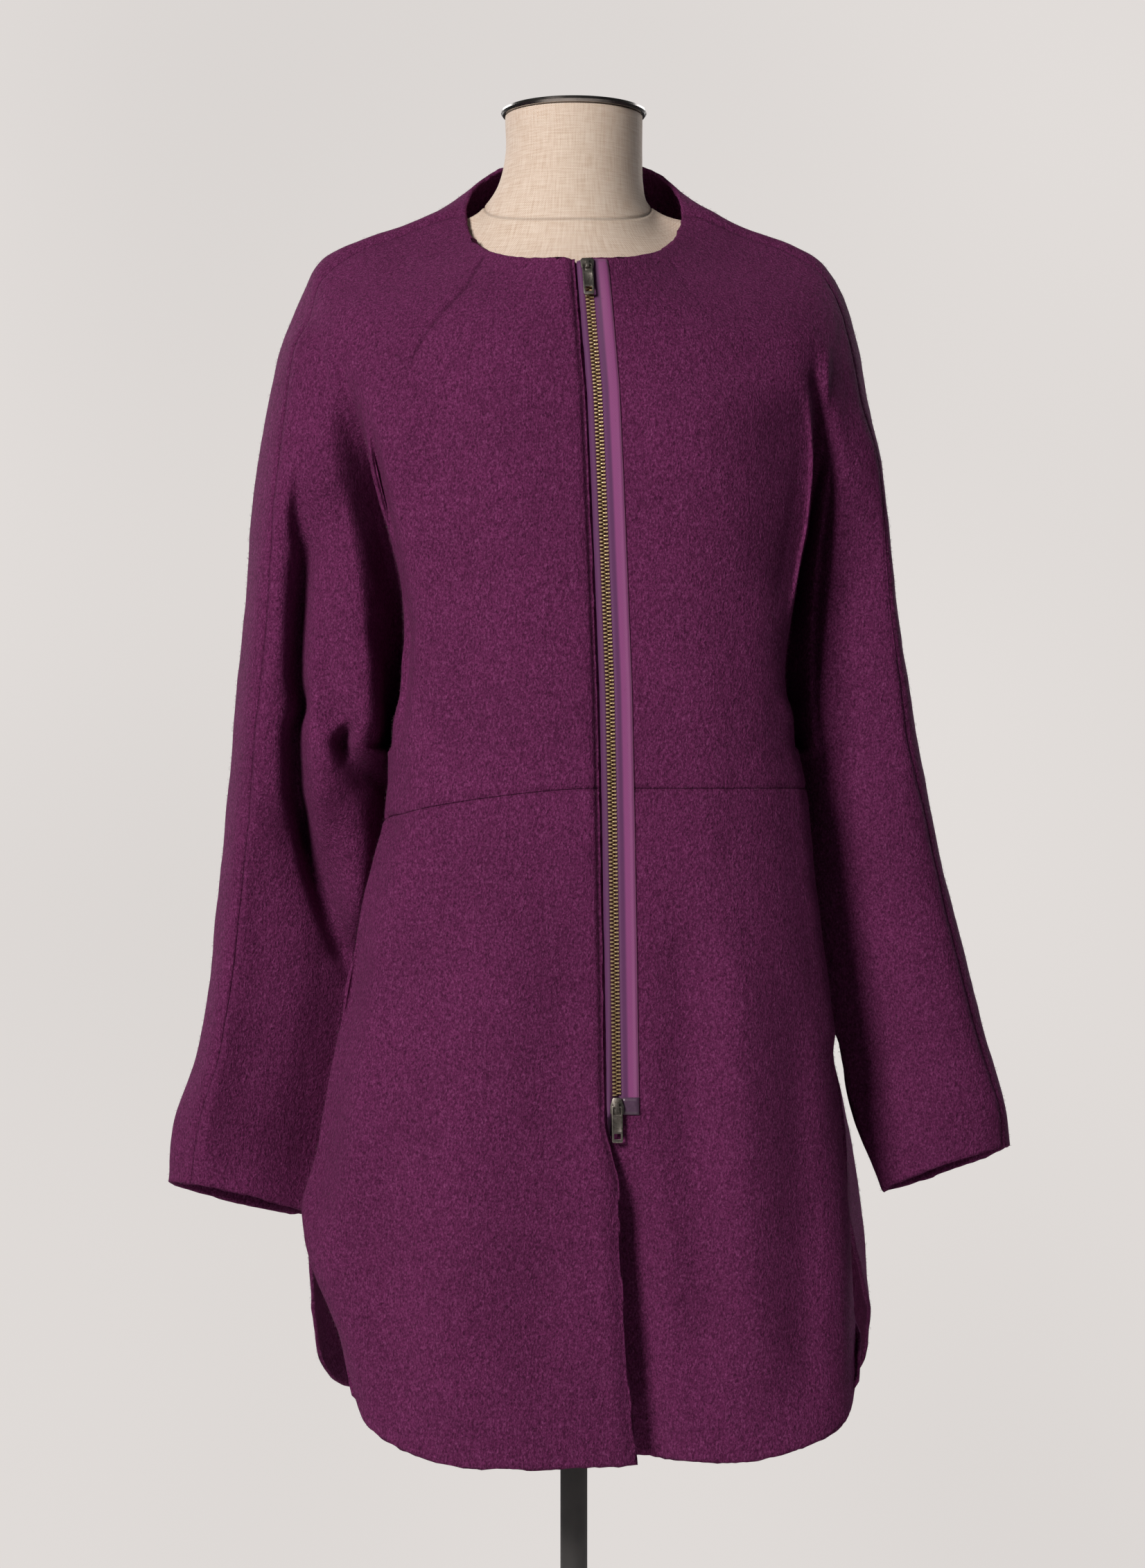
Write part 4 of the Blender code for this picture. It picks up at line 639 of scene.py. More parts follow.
def yoke_knots(row, side):
    """Knots of one plain ring, from the closing line round the side to the centre back."""
    half = row.half_right if side == "right" else row.half_left
    power = 2.0 / row.square
    knots = []
    edge_turn = FRONT_TURNS[-1]
    seam_turn = row.seam_right if side == "right" else row.seam_left
    shoulder = tuple(edge_turn + share * (seam_turn - edge_turn) for share in SHOULDER_SHARES)
    for turn in FRONT_TURNS + shoulder + (90.0,) + BACK_TURNS:
        angle = math.radians(turn)
        x = half * math.sin(angle) ** power if turn < 180 else 0.0
        cosine = math.cos(angle)
        if turn <= 90.0:
            y = row.front_y * max(cosine, 0.0) ** power
            z = row.front_z + (row.side_z - row.front_z) * (turn / 90.0) ** row.rise
        else:
            y = row.back_y * (-cosine) ** power
            z = row.back_z + (row.side_z - row.back_z) * ((180.0 - turn) / 90.0) ** BACK_RISE
        knots.append((SIGN[side] * x, y, z))
    knots[0] = (front_edge_x(side, row.front_z), row.front_y - EDGE_LIFT[side], row.front_z)
    return np.array(knots)


def around(arm_x, arm_y, half_width, half_depth, turn):
    """Point of a sleeve's oval, turned from its outer line towards the front."""
    angle = math.radians(turn)
    return arm_x + half_width * math.cos(angle), arm_y - half_depth * math.sin(angle)


def lobe_knots(row, side, seam_turn, back_turn):
    """Knots of one ring with a body lobe, a groove and a sleeve lobe."""
    sign = SIGN[side]
    edge = front_edge_x(side, row.front_z)
    mid = edge + MID_SHARE[side] * (sign * row.edge_x - edge)
    mid_y = row.front_y + MID_FALL * (row.edge_y - row.front_y)
    seam = around(row.arm_x, row.arm_y, row.arm_a, row.arm_b, seam_turn)
    outer = around(row.arm_x, row.arm_y, row.arm_a, row.arm_b, 0.0)
    arm_back = around(row.arm_x, row.arm_y, row.arm_a, row.arm_b, back_turn)
    crease_x = 0.5 * (row.crest_x + seam[0]) + WEB_SWELL[0] * (row.crest_y - seam[1])
    crease_y = 0.5 * (row.crest_y + seam[1]) - WEB_SWELL[1] * (seam[0] - row.crest_x)
    corner_y = BACK_BEND * row.back_y
    flank_x = FLANK_IN * row.groove_x
    flank_y = row.groove_back + FLANK_BACK * (corner_y - row.groove_back)
    plan = (
        (edge * sign, row.front_y - EDGE_LIFT[side]),
        (mid * sign, mid_y),
        (row.edge_x, row.edge_y),
        (row.groove_x - GROOVE_HALF, row.groove_front),
        (row.groove_x + GROOVE_HALF, row.groove_front),
        (row.crest_x, row.crest_y),
        (crease_x, crease_y),
        seam,
        outer,
        arm_back,
        (row.groove_x + GROOVE_HALF, row.groove_back),
        (row.groove_x - GROOVE_HALF, row.groove_back),
        (flank_x, flank_y),
        (LOBE_BACK_X, corner_y),
        (0.0, row.back_y),
    )
    front_gain = row.side_z - row.front_z
    back_gain = row.back_z - row.side_z
    heights = [row.front_z + share * front_gain for share in LOBE_RISE]
    heights += [row.side_z + share * back_gain for share in LOBE_BACK_RISE]
    return np.array([(sign * x, y, z) for (x, y), z in zip(plan, heights)])


def section_knots(row, side, swell):
    """Knots of one body ring: closing line, middle, fold edge, side, slit, flank, corner, back."""
    sign = SIGN[side]
    edge = front_edge_x(side, row.front_z)
    mid = edge + MID_SHARE[side] * (sign * row.edge_x - edge)
    mid_y = row.front_y + MID_FALL * (row.edge_y - row.front_y) - swell
    middle_z = 0.5 * (row.front_z + row.side_z)
    return np.array((
        (edge, row.front_y, row.front_z),
        (mid, mid_y, 0.75 * row.front_z + 0.25 * row.side_z),
        (sign * row.edge_x, row.edge_y, 0.5 * middle_z + 0.5 * row.side_z),
        (sign * row.side_x, row.side_y, row.side_z),
        (sign * row.slit_x, row.slit_y, 0.0),
        (sign * row.flank_x, row.flank_y, 0.5 * (row.side_z + row.back_z)),
        (sign * CORNER_IN * row.flank_x, BACK_BEND * row.back_y, row.back_z),
        (0.0, row.back_y, row.back_z),
    ))


def arm_knots(row, side):
    """Knots of one sleeve ring: underarm, front crest, crease, overarm seam, outer line, back."""
    seam_turn = SEAM_TURN[side]
    turns = (180.0, CREST_TURN, 0.5 * (CREST_TURN + seam_turn), seam_turn, 0.0, ARM_BACK_TURN)
    knots = []
    for turn in turns:
        x, y = around(row.x, row.y, row.half_width, row.half_depth, turn)
        outward = 0.5 + 0.5 * math.cos(math.radians(turn))
        level = row.inner_z + (row.outer_z - row.inner_z) * outward
        knots.append((SIGN[side] * x, y, level + 0.5 * row.tilt * math.sin(math.radians(turn))))
    return np.array(knots)


class CoatSide:
    """One half of the coat's outer surface, made of its rows of knots."""

    def __init__(self, side):
        self.side = side
        upper = [yoke_knots(row, side) for row in YOKE]
        lobes = zip(LOBES[side], LOBE_SEAM_TURNS[side], LOBE_BACK_TURNS)
        upper += [lobe_knots(row, side, seam, back) for row, seam, back in lobes]
        rows = zip(SECTIONS[side], SKIRT_SWELL[side])
        self.upper = np.array(upper)
        self.body = np.array([section_knots(row, side, swell) for row, swell in rows])
        self.arm = np.array([arm_knots(row, side) for row in ARMS[side]])
        self.fork = len(upper) - 1
        self.hem = float(len(self.body))

    def column(self, upper_index, lower, lower_index, places):
        """One knot column from the collar down through the body rows or the sleeve rows."""
        knots = self.upper[:, upper_index]
        if lower is not None:
            knots = np.concatenate((knots, lower[:, lower_index]))
        return smooth_curves(knots[None], places)[0]

    def set_edge(self, points):
        """Puts the closing edge where the zip or the lap wants it."""
        points[:, 0] = [front_edge_x(self.side, z) for z in points[:, 2]]

    def upper_rings(self, places):
        """Rings at row places above the underarm bridge, 15 knots each."""
        columns = []
        for index in range(self.upper.shape[1]):
            if index in GROOVE_KNOTS:
                columns.append(self.column(index, None, 0, places))
            elif index < 3:
                columns.append(self.column(index, self.body, index, places))
            elif index > 11:
                columns.append(self.column(index, self.body, index - 7, places))
            else:
                columns.append(self.column(index, self.arm, index - 4, places))
        self.set_edge(columns[0])
        return np.stack(columns, axis=1)

    def body_rings(self, places):
        """Rings at row places below the underarm bridge, 8 knots each."""
        places = np.asarray(places, dtype=float)
        down = places + self.fork
        start = self.upper[self.fork][3]
        side_knots = np.concatenate((start[None], self.body[:, 3]))
        side = smooth_curves(side_knots[None], places)[0]
        rows = np.arange(1.0, len(self.body) + 1.0)
        slit = np.stack([np.interp(places, rows, self.body[:, 4, axis]) for axis in range(3)], axis=1)
        head = [self.column(index, self.body, index, down) for index in (0, 1, 2)]
        tail = [self.column(index, self.body, index - 7, down) for index in (12, 13, 14)]
        self.set_edge(head[0])
        return np.stack(head + [side, side + slit] + tail, axis=1)

    def arm_rings(self, places):
        """Rings of the sleeve at row places below the underarm bridge, 6 knots each."""
        places = np.asarray(places, dtype=float)
        start = self.upper[self.fork][4]
        under_knots = np.concatenate((start[None], self.arm[:, 0]))
        under = smooth_curves(under_knots[None], places)[0]
        rest = [self.column(index, self.arm, index - 4, places + self.fork) for index in range(5, 10)]
        return np.stack([under] + rest, axis=1)

    def on_yoke(self, rows, columns):
        """Grid above the underarm bridge; columns run 0 to 14 from closing line to centre back."""
        return smooth_curves(self.upper_rings(rows), columns, level_ends=True)

    def on_arm(self, rows, columns):
        """Grid of the sleeve below the underarm bridge; columns 4 to 10."""
        return smooth_curves(self.arm_rings(rows), np.asarray(columns) - 4.0, closed=True)

    def on_front(self, rows, columns):
        """Grid of the body front below the underarm bridge, with its rounded corner; columns 0 to 3."""
        row_grid, column_grid = round_corner(rows, columns, self.hem, 3.0, FRONT_CORNER, -1.0)
        rings = self.body_rings(row_grid.ravel())[:, [0, 1, 2, 3, 5]]
        points = smooth_curves(rings, column_grid.reshape(-1, 1), level_ends=True)
        return points.reshape(row_grid.shape + (3,))

    def on_back(self, rows, columns):
        """Grid of the body back below the underarm bridge, with its rounded corner; columns 11 to 14."""
        row_grid, column_grid = round_corner(rows, columns, self.hem, 11.0, BACK_CORNER, 1.0)
        rings = self.body_rings(row_grid.ravel())[:, [2, 4, 5, 6, 7]]
        points = smooth_curves(rings, column_grid.reshape(-1, 1) - 10.0, level_ends=True)
        return points.reshape(row_grid.shape + (3,))


def spread(steps, start=0.0):
    """Places between knots, with so many steps after each knot."""
    places = [start]
    for index, count in enumerate(steps):
        places += [start + index + (step + 1.0) / count for step in range(count)]
    return places


def round_corner(rows, columns, hem_row, edge_column, reach, inward):
    """Grid places with the square corner at the hem drawn onto a rounded one."""
    row_grid, column_grid = np.meshgrid(np.asarray(rows, dtype=float), columns, indexing="ij")
    along = np.clip(1.0 - np.abs(edge_column - column_grid) / reach[0], 0.0, 1.0)
    down = np.clip(1.0 - (hem_row - row_grid) / reach[1], 0.0, 1.0)
    inside = (along > 0.0) & (down > 0.0)
    new_along = along * np.sqrt(1.0 - 0.5 * down * down)
    new_down = down * np.sqrt(1.0 - 0.5 * along * along)
    rounded_row = hem_row - (1.0 - new_down) * reach[1]
    rounded_column = edge_column + inward * (1.0 - new_along) * reach[0]
    return np.where(inside, rounded_row, row_grid), np.where(inside, rounded_column, column_grid)


def column_places(first, last, extra):
    """Grid places of the columns between two knots, with more of them close to the edges."""
    places = [place for place in spread(COLUMN_STEPS) if first - 1e-9 <= place <= last + 1e-9]
    return sorted(places + list(extra))


def grid_quads(numbers):
    """Faces between the rows and columns of a grid of point numbers."""
    corners = (numbers[:-1, :-1], numbers[1:, :-1], numbers[1:, 1:], numbers[:-1, 1:])
    return np.stack(corners, axis=2).reshape(-1, 4)


class Panel:
    """A cut piece of cloth as a grid of quads over numbered points."""

    def __init__(self, name, side):
        self.name = name
        self.side = side
        self.points = np.zeros((0, 3))
        self.faces = []
        self.rows = []
        self.normals = None
        self.shade = None

    def add_grid(self, grid, shared=None):
        """Adds a grid of points; its first row can be points that are already there."""
        columns = grid.shape[1]
        new_points = grid if shared is None else grid[1:]
        first = len(self.points)
        numbers = first + np.arange(len(new_points) * columns).reshape(-1, columns)
        if shared is not None:
            numbers = np.vstack((shared, numbers))
        self.points = np.vstack((self.points, new_points.reshape(-1, 3)))
        quads = grid_quads(numbers)
        self.faces.append(quads if self.side == "left" else quads[:, ::-1])
        return numbers

    def quads(self):
        """All faces of the panel."""
        return np.vstack(self.faces)


def front_panel(net, side):
    """Upper front with its sleeve front, from collar to waist seam and cuff."""
    panel = Panel("front_" + side, side)
    near_seam = [7.0 - place for place in SEAM_COLUMNS]
    columns = column_places(0, 7, list(EDGE_COLUMNS) + near_seam)
    grid = panel.add_grid(net.on_yoke(spread(YOKE_STEPS), columns))
    body_end = columns.index(3.0) + 1
    arm_start = columns.index(4.0)
    rows = sorted(spread(BODICE_STEPS) + [1.0 - place for place in SEAM_ROWS])
    bodice = panel.add_grid(net.on_front(rows, columns[:body_end]), grid[-1][:body_end])
    panel.rows = np.vstack((grid[:, :body_end], bodice[1:]))
    panel.add_grid(net.on_arm(spread(ARM_STEPS), columns[arm_start:]), grid[-1][arm_start:])
    return panel


def back_panel(net, side):
    """Back half with its sleeve back, from collar to hem and cuff."""
    panel = Panel("back_" + side, side)
    near_seam = [7.0 + place for place in SEAM_COLUMNS] + [14.0 - 0.5 * place for place in SEAM_COLUMNS]
    columns = column_places(7, 14, near_seam)
    grid = panel.add_grid(net.on_yoke(spread(YOKE_STEPS), columns))
    arm_end = columns.index(10.0) + 1
    body_start = columns.index(11.0)
    panel.add_grid(net.on_arm(spread(ARM_STEPS), columns[:arm_end]), grid[-1][:arm_end])
    beside_seam = [1.0 - place for place in SEAM_ROWS] + [1.0 + place for place in SEAM_ROWS]
    rows = sorted(spread(BODICE_STEPS + SKIRT_STEPS) + beside_seam)
    panel.add_grid(net.on_back(rows, columns[body_start:]), grid[-1][body_start:])
    return panel


def skirt_panel(net, side):
    """Lower front, from waist seam to hem."""
    panel = Panel("skirt_" + side, side)
    columns = column_places(0, 3, EDGE_COLUMNS)
    rows = sorted(spread(SKIRT_STEPS, 1.0) + [1.0 + place for place in SEAM_ROWS])
    panel.rows = panel.add_grid(net.on_front(rows, columns))
    return panel


def weld(panels):
    """Point numbers, with points that lie together counted as one, and how many panels meet at each."""
    points = np.concatenate([panel.points for panel in panels])
    keys = np.round(points * WELD_PER_METRE).astype(np.int64)
    joined, number = np.unique(keys, axis=0, return_inverse=True)
    number = number.ravel()
    owners = np.concatenate([np.full(len(panel.points), index) for index, panel in enumerate(panels)])
    pairs = np.unique(np.stack((number, owners), axis=1), axis=0)
    uses = np.bincount(pairs[:, 0], minlength=len(joined))
    starts = np.cumsum([0] + [len(panel.points) for panel in panels])
    numbers = [number[first:last] for first, last in zip(starts[:-1], starts[1:])]
    return numbers, uses


def weld_normals(panels, numbers, count):
    """Outward normal at every point of every panel, shared where panels meet at a seam."""
    sums = np.zeros((count, 3))
    for panel, number in zip(panels, numbers):
        quads = panel.quads()
        corner = panel.points[quads]
        normal = np.cross(corner[:, 2] - corner[:, 0], corner[:, 3] - corner[:, 1])
        for place in range(4):
            np.add.at(sums, number[quads[:, place]], normal)
    sums /= np.linalg.norm(sums, axis=1)[:, None] + 1e-12
    for panel, number in zip(panels, numbers):
        panel.normals = sums[number]


def path_gap(flat, path):
    """Distance of flat points to a path, which side of it they lie on, and the share of the way along it."""
    path = np.asarray(path, dtype=float)
    steps = np.linalg.norm(np.diff(path, axis=0), axis=1)
    before = np.concatenate(((0.0,), np.cumsum(steps)))
    best = np.full(len(flat), 1e9)
    sign = np.ones(len(flat))
    share = np.zeros(len(flat))
    for index, start in enumerate(path[:-1]):
        run = path[index + 1] - start
        away = flat - start
        part = np.clip(away @ run / (run @ run), 0.0, 1.0)
        offset = away - part[:, None] * run
        gap = np.linalg.norm(offset, axis=1)
        closer = gap < best
        best = np.where(closer, gap, best)
        sign = np.where(closer, np.sign(offset[:, 0]), sign)
        share = np.where(closer, (before[index] + part * steps[index]) / before[-1], share)
    return best, sign, share


def ease(value):
    """Smooth step from 0 to 1."""
    value = np.clip(value, 0.0, 1.0)
    return value * value * (3.0 - 2.0 * value)


def fold_moves(points, normals):
    """How large folds move each point along its normal, and finer creases straight in, out or sideways."""
    flat = points[:, [0, 2]]
    moves = np.zeros_like(points)
    for fold in FOLDS:
        gap, _, _ = path_gap(flat, ((fold.x0, fold.z0), (fold.x1, fold.z1)))
        depth = fold.depth * np.exp(-(gap / fold.half_width) ** 2) * np.clip(-normals[:, 1], 0.0, 1.0)
        moves += normals * depth[:, None]
    for crease in CREASES:
        gap, sign, share = path_gap(flat, crease.path)
        half = np.where(sign < 0.0, crease.near, crease.far)
        if crease.facing == 2:
            axis = 0
            weight = 1.0
        elif crease.facing == 0:
            axis = 0
            turned = np.abs(normals[:, 0]) * SIDE_FACING[0] - SIDE_FACING[1]
            weight = np.clip(turned, 0.0, 1.0) * np.sign(normals[:, 0])
        else:
            axis = 1
            weight = -crease.facing * np.clip(-crease.facing * normals[:, 1] * FRONT_FACING, 0.0, 1.0)
        fade = ease(share / crease.fade) * ease((1.0 - share) / crease.fade)
        moves[:, axis] += crease.depth * np.exp(-(gap / half) ** 2) * fade * weight
    return moves


def wave_height(points):
    """Soft unevenness of hanging wool at each point, none along the zip."""
    height = np.zeros(len(points))
    for size, amount in WAVES:
        height += [amount * noise.noise(Vector(point) / size) for point in points]
    closing = np.array([closing_x(z) for z in points[:, 2]])
    beside = np.abs(points[:, 0] - closing) + 0.5 * np.clip(points[:, 1], 0.0, 1.0)
    return height * ease((beside - WAVE_CLEAR) / WAVE_RISE)


def edge_detail(panel, shade):
    """Depth of the sewn lines on one panel: edge stitching, dart and hem line; painted shade darkens them.
    """
    points = panel.points
    depth = np.zeros(len(points))
    facing = np.clip(-panel.normals[:, 1] * EDGE_FACING, 0.0, 1.0)
    if panel.name in ("front_right", "skirt_right"):
        edge = np.array([front_edge_x("right", z) for z in points[:, 2]])
        inset = np.abs(points[:, 0] - edge)
        line = np.exp(-((inset - STITCH_INSET) / STITCH_HALF) ** 2) * (points[:, 2] > LAP_FULL) * facing
        depth -= STITCH_DEPTH * line
        shade += PAINTED_STITCH_SHADE * line
        along_zip = ease((points[:, 2] - LAP_TOP) / EDGE_PRESS_START)
        depth -= EDGE_PRESS * np.exp(-(inset / EDGE_PRESS_HALF) ** 2) * along_zip * facing
        along_lap = ease((LAP_TOP - points[:, 2]) / LAP_ROLL_START)
        depth -= LAP_ROLL * ease(1.0 - inset / LAP_ROLL_WIDE) * along_lap * facing
    if panel.name in ("front_left", "skirt_left"):
        # The left front lies back under the lap and comes forward again beside it
        edge = np.array([front_edge_x("right", z) for z in points[:, 2]])
        valley = np.exp(-(np.clip(points[:, 0] - edge, 0.0, 1.0) / LAP_VALLEY) ** 2)
        along_lap = ease((LAP_TOP - LAP_SET_BACK_DROP - points[:, 2]) / LAP_SET_BACK_START)
        depth -= LAP_SET_BACK * valley * along_lap * facing
    if panel.name.startswith("skirt"):
        depth += HEM_STEP * ease((HEM_TOP - points[:, 2]) / HEM_STEP_WIDE) * facing
        shade += PAINTED_HEM_SHADE * np.exp(-((points[:, 2] - HEM_TOP) / PAINTED_HEM_SHADE_HALF) ** 2) * facing
    if panel.name.startswith("front"):
        gap, _, share = path_gap(points[:, [0, 2]], DART_PATH[panel.side])
        line = np.exp(-(gap / DART_HALF) ** 2) * ease((1.0 - share) / DART_FADE) * facing
        depth -= DART_DEPTH[panel.side] * line
        shade += PAINTED_DART_SHADE[panel.side] * line
    return depth


def boundary_edges(quads):
    """Edges that only one face uses, in that face's direction."""
    used = set()
    for face in quads.tolist():
        used.update(zip(face, face[1:] + face[:1]))
    return [edge for edge in used if (edge[1], edge[0]) not in used]


def inward_steps(panel, edges):
    """Unit direction from each rim point into the panel, along its surface."""
    quads = panel.quads()
    centres = panel.points[quads].mean(axis=1)
    toward = np.zeros_like(panel.points)
    for place in range(4):
        np.add.at(toward, quads[:, place], centres - panel.points[quads[:, place]])
    along = np.zeros_like(panel.points)
    for first, second in edges:
        step = panel.points[second] - panel.points[first]
        step = step / (np.linalg.norm(step) + 1e-12)
        along[first] += step
        along[second] += step
    length = np.linalg.norm(along, axis=1)
    straight = length > RIM_STRAIGHT
    axis = along / np.where(length > 0.0, length, 1.0)[:, None]
    toward = np.where(straight[:, None], toward - axis * (toward * axis).sum(axis=1)[:, None], toward)
    toward = toward - panel.normals * (toward * panel.normals).sum(axis=1)[:, None]
    return toward / (np.linalg.norm(toward, axis=1)[:, None] + 1e-12)


def linear(code):
    """Linear red, green and blue of an sRGB hex colour."""
    values = [int(code[index:index + 2], 16) / 255.0 for index in (1, 3, 5)]
    return tuple(
        value / 12.92 if value <= 0.04045 else ((value + 0.055) / 1.055) ** 2.4 for value in values
    )


def add_piece(name, points, faces, material, body=COAT_BODY):
    """A new mesh piece that rides on a body."""
    mesh = bpy.data.meshes.new(name)
    mesh.from_pydata(np.asarray(points, dtype=float).tolist(), [], [tuple(face) for face in faces])
    mesh.validate()
    mesh.shade_smooth()
    mesh.materials.append(material)
    item = bpy.data.objects.new(name, mesh)
    bpy.context.scene.collection.objects.link(item)
    if body is not None:
        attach(item, body)
    return item


def shell(panel, uses, thickness):
    """Points, faces and painted seam shade of a closed cloth shell over a panel, with rolled and rounded
    edges.
    """
    quads = panel.quads()
    edges = boundary_edges(quads)
    inward = inward_steps(panel, edges)
    rim = sorted({index for edge in edges for index in edge})
    sewn = uses > 1
    outer = panel.points.copy()
    normals = panel.normals
    shade = panel.shade.copy()
    seam_points = panel.points[[index for index in rim if sewn[index]]]
    if len(seam_points):
        gap = nearest_gap(panel.points, seam_points)
        roll = np.exp(-(gap / SEAM_REACH) ** 2)
        outer -= normals * (SEAM_SINK * roll)[:, None]
        # Painted shade along the sewn seams
        shade += PAINTED_SEAM_SHADE * np.exp(-(gap / PAINTED_SEAM_SHADE_HALF) ** 2)
    inner = panel.points - normals * thickness
    count = len(outer)
    middle = {}
    middle_points = []
    for index in rim:
        step = inward[index]
        if sewn[index]:
            outer[index] += step * SEAM_GAP / 2.0
            inner[index] += step * SEAM_GAP / 2.0
            place = 0.5 * (outer[index] + inner[index])
        else:
            fuzz = RIM_FUZZ * noise.noise(Vector(outer[index]) / RIM_FUZZ_WIDE)
            fuzz += RIM_WAVE * noise.noise(Vector(outer[index]) / RIM_WAVE_WIDE)
            outer[index] += step * (RIM_ROUND + fuzz)
            inner[index] += step * (RIM_ROUND + fuzz)
            place = 0.5 * (outer[index] + inner[index]) - step * (RIM_ROUND + 2.0 * fuzz)
        middle[index] = 2 * count + len(middle_points)
        middle_points.append(place)
    faces = quads.tolist()
    faces += (quads[:, ::-1] + count).tolist()
    for first, second in edges:
        faces.append((second, first, middle[first], middle[second]))
        faces.append((middle[second], middle[first], first + count, second + count))
    shade = np.concatenate((shade, shade, shade[rim]))
    return np.vstack((outer, inner, middle_points)), faces, np.clip(shade, 0.0, 1.0)


def nearest_gap(points, marks):
    """Distance of each point to the nearest of some marks."""
    tree = KDTree(len(marks))
    for index, mark in enumerate(marks):
        tree.insert(mark, index)
    tree.balance()
    return np.array([tree.find(point)[2] for point in points])


def open_pocket(panel, uses):
    """Lifts the skirt's side edge a little along the pocket opening and leaves it unsewn there."""
    for row in panel.rows:
        index = row[-1]
        share = (panel.points[index][2] - POCKET_BOTTOM) / (POCKET_TOP - POCKET_BOTTOM)
        if 0.0 < share < 1.0:
            panel.points[index] += panel.normals[index] * POCKET_GAPE * math.sin(math.pi * share)
            uses[index] = 1


def round_hem(panel):
    """Draws a skirt's slit corner up into a wider curve."""
    grid = panel.points[panel.rows]
    steps = np.linalg.norm(np.diff(grid, axis=1), axis=2)
    inset = np.zeros(grid.shape[:2])
    inset[:, :-1] = np.cumsum(steps[:, ::-1], axis=1)[:, ::-1]
    along = np.clip(1.0 - inset / HEM_CURVE_LONG, 0.0, 1.0)
    lift = HEM_CURVE_HIGH * (1.0 - np.sqrt(1.0 - along ** 2)) ** HEM_CURVE_BEND
    near = ease(1.0 - (grid[:, :, 2] - grid[:, :, 2].min()) / HEM_CURVE_REACH)
    panel.points[panel.rows, 2] += lift * near


@lru_cache(maxsize=None)
def cloth_panels():
    """All six panels with their folds, ready for shells, and how often each of their points is sewn."""
    panels = []
    for side in ("right", "left"):
        net = CoatSide(side)
        panels.append(front_panel(net, side))
        panels.append(back_panel(net, side))
        panels.append(skirt_panel(net, side))
    numbers, uses = weld(panels)
    weld_normals(panels, numbers, len(uses))
    moves = np.zeros((len(uses), 3))
    for panel, number in zip(panels, numbers):
        waves = panel.normals * wave_height(panel.points)[:, None]
        moves[number] = fold_moves(panel.points, panel.normals) + waves
    for panel, number in zip(panels, numbers):
        panel.points = panel.points + moves[number]
        if panel.name.startswith("skirt"):
            round_hem(panel)
    weld_normals(panels, numbers, len(uses))
    sewn = [uses[number] for number in numbers]
    for panel, sewn_here in zip(panels, sewn):
        panel.shade = np.zeros(len(panel.points))
        panel.points = panel.points + panel.normals * edge_detail(panel, panel.shade)[:, None]
        if panel.name.startswith("skirt"):
            open_pocket(panel, sewn_here)
    weld_normals(panels, numbers, len(uses))
    return panels, sewn


def set_inputs(tree, item, inputs):
    """Links a node's inputs to sockets or to other nodes' first outputs, and sets plain values on them."""
    for name, value in inputs.items():
        if isinstance(value, bpy.types.Node):
            value = value.outputs[0]
        if isinstance(value, bpy.types.NodeSocket):
            tree.links.new(value, item.inputs[name])
        else:
            item.inputs[name].default_value = value


def add_node(tree, kind, inputs=None, stops=(), **settings):
    """Adds one shader node with its settings, inputs and colour stops: place and linear colour."""
    item = tree.nodes.new("ShaderNode" + kind)
    for name, value in settings.items():
        setattr(item, name, value)
    set_inputs(tree, item, inputs or {})
    if stops:
        elements = item.color_ramp.elements
        while len(elements) < len(stops):
            elements.new(0.5)
        for element, (place, colour) in zip(elements, stops):
            element.position = place
            element.color = opaque(colour)
    return item


def opaque(colour):
    """A colour with full cover."""
    return tuple(colour) + (1.0,)


def new_material(name):
    """An empty node material and its shader."""
    material = bpy.data.materials.new(name)
    material.use_nodes = True
    return material, material.node_tree, material.node_tree.nodes["Principled BSDF"]


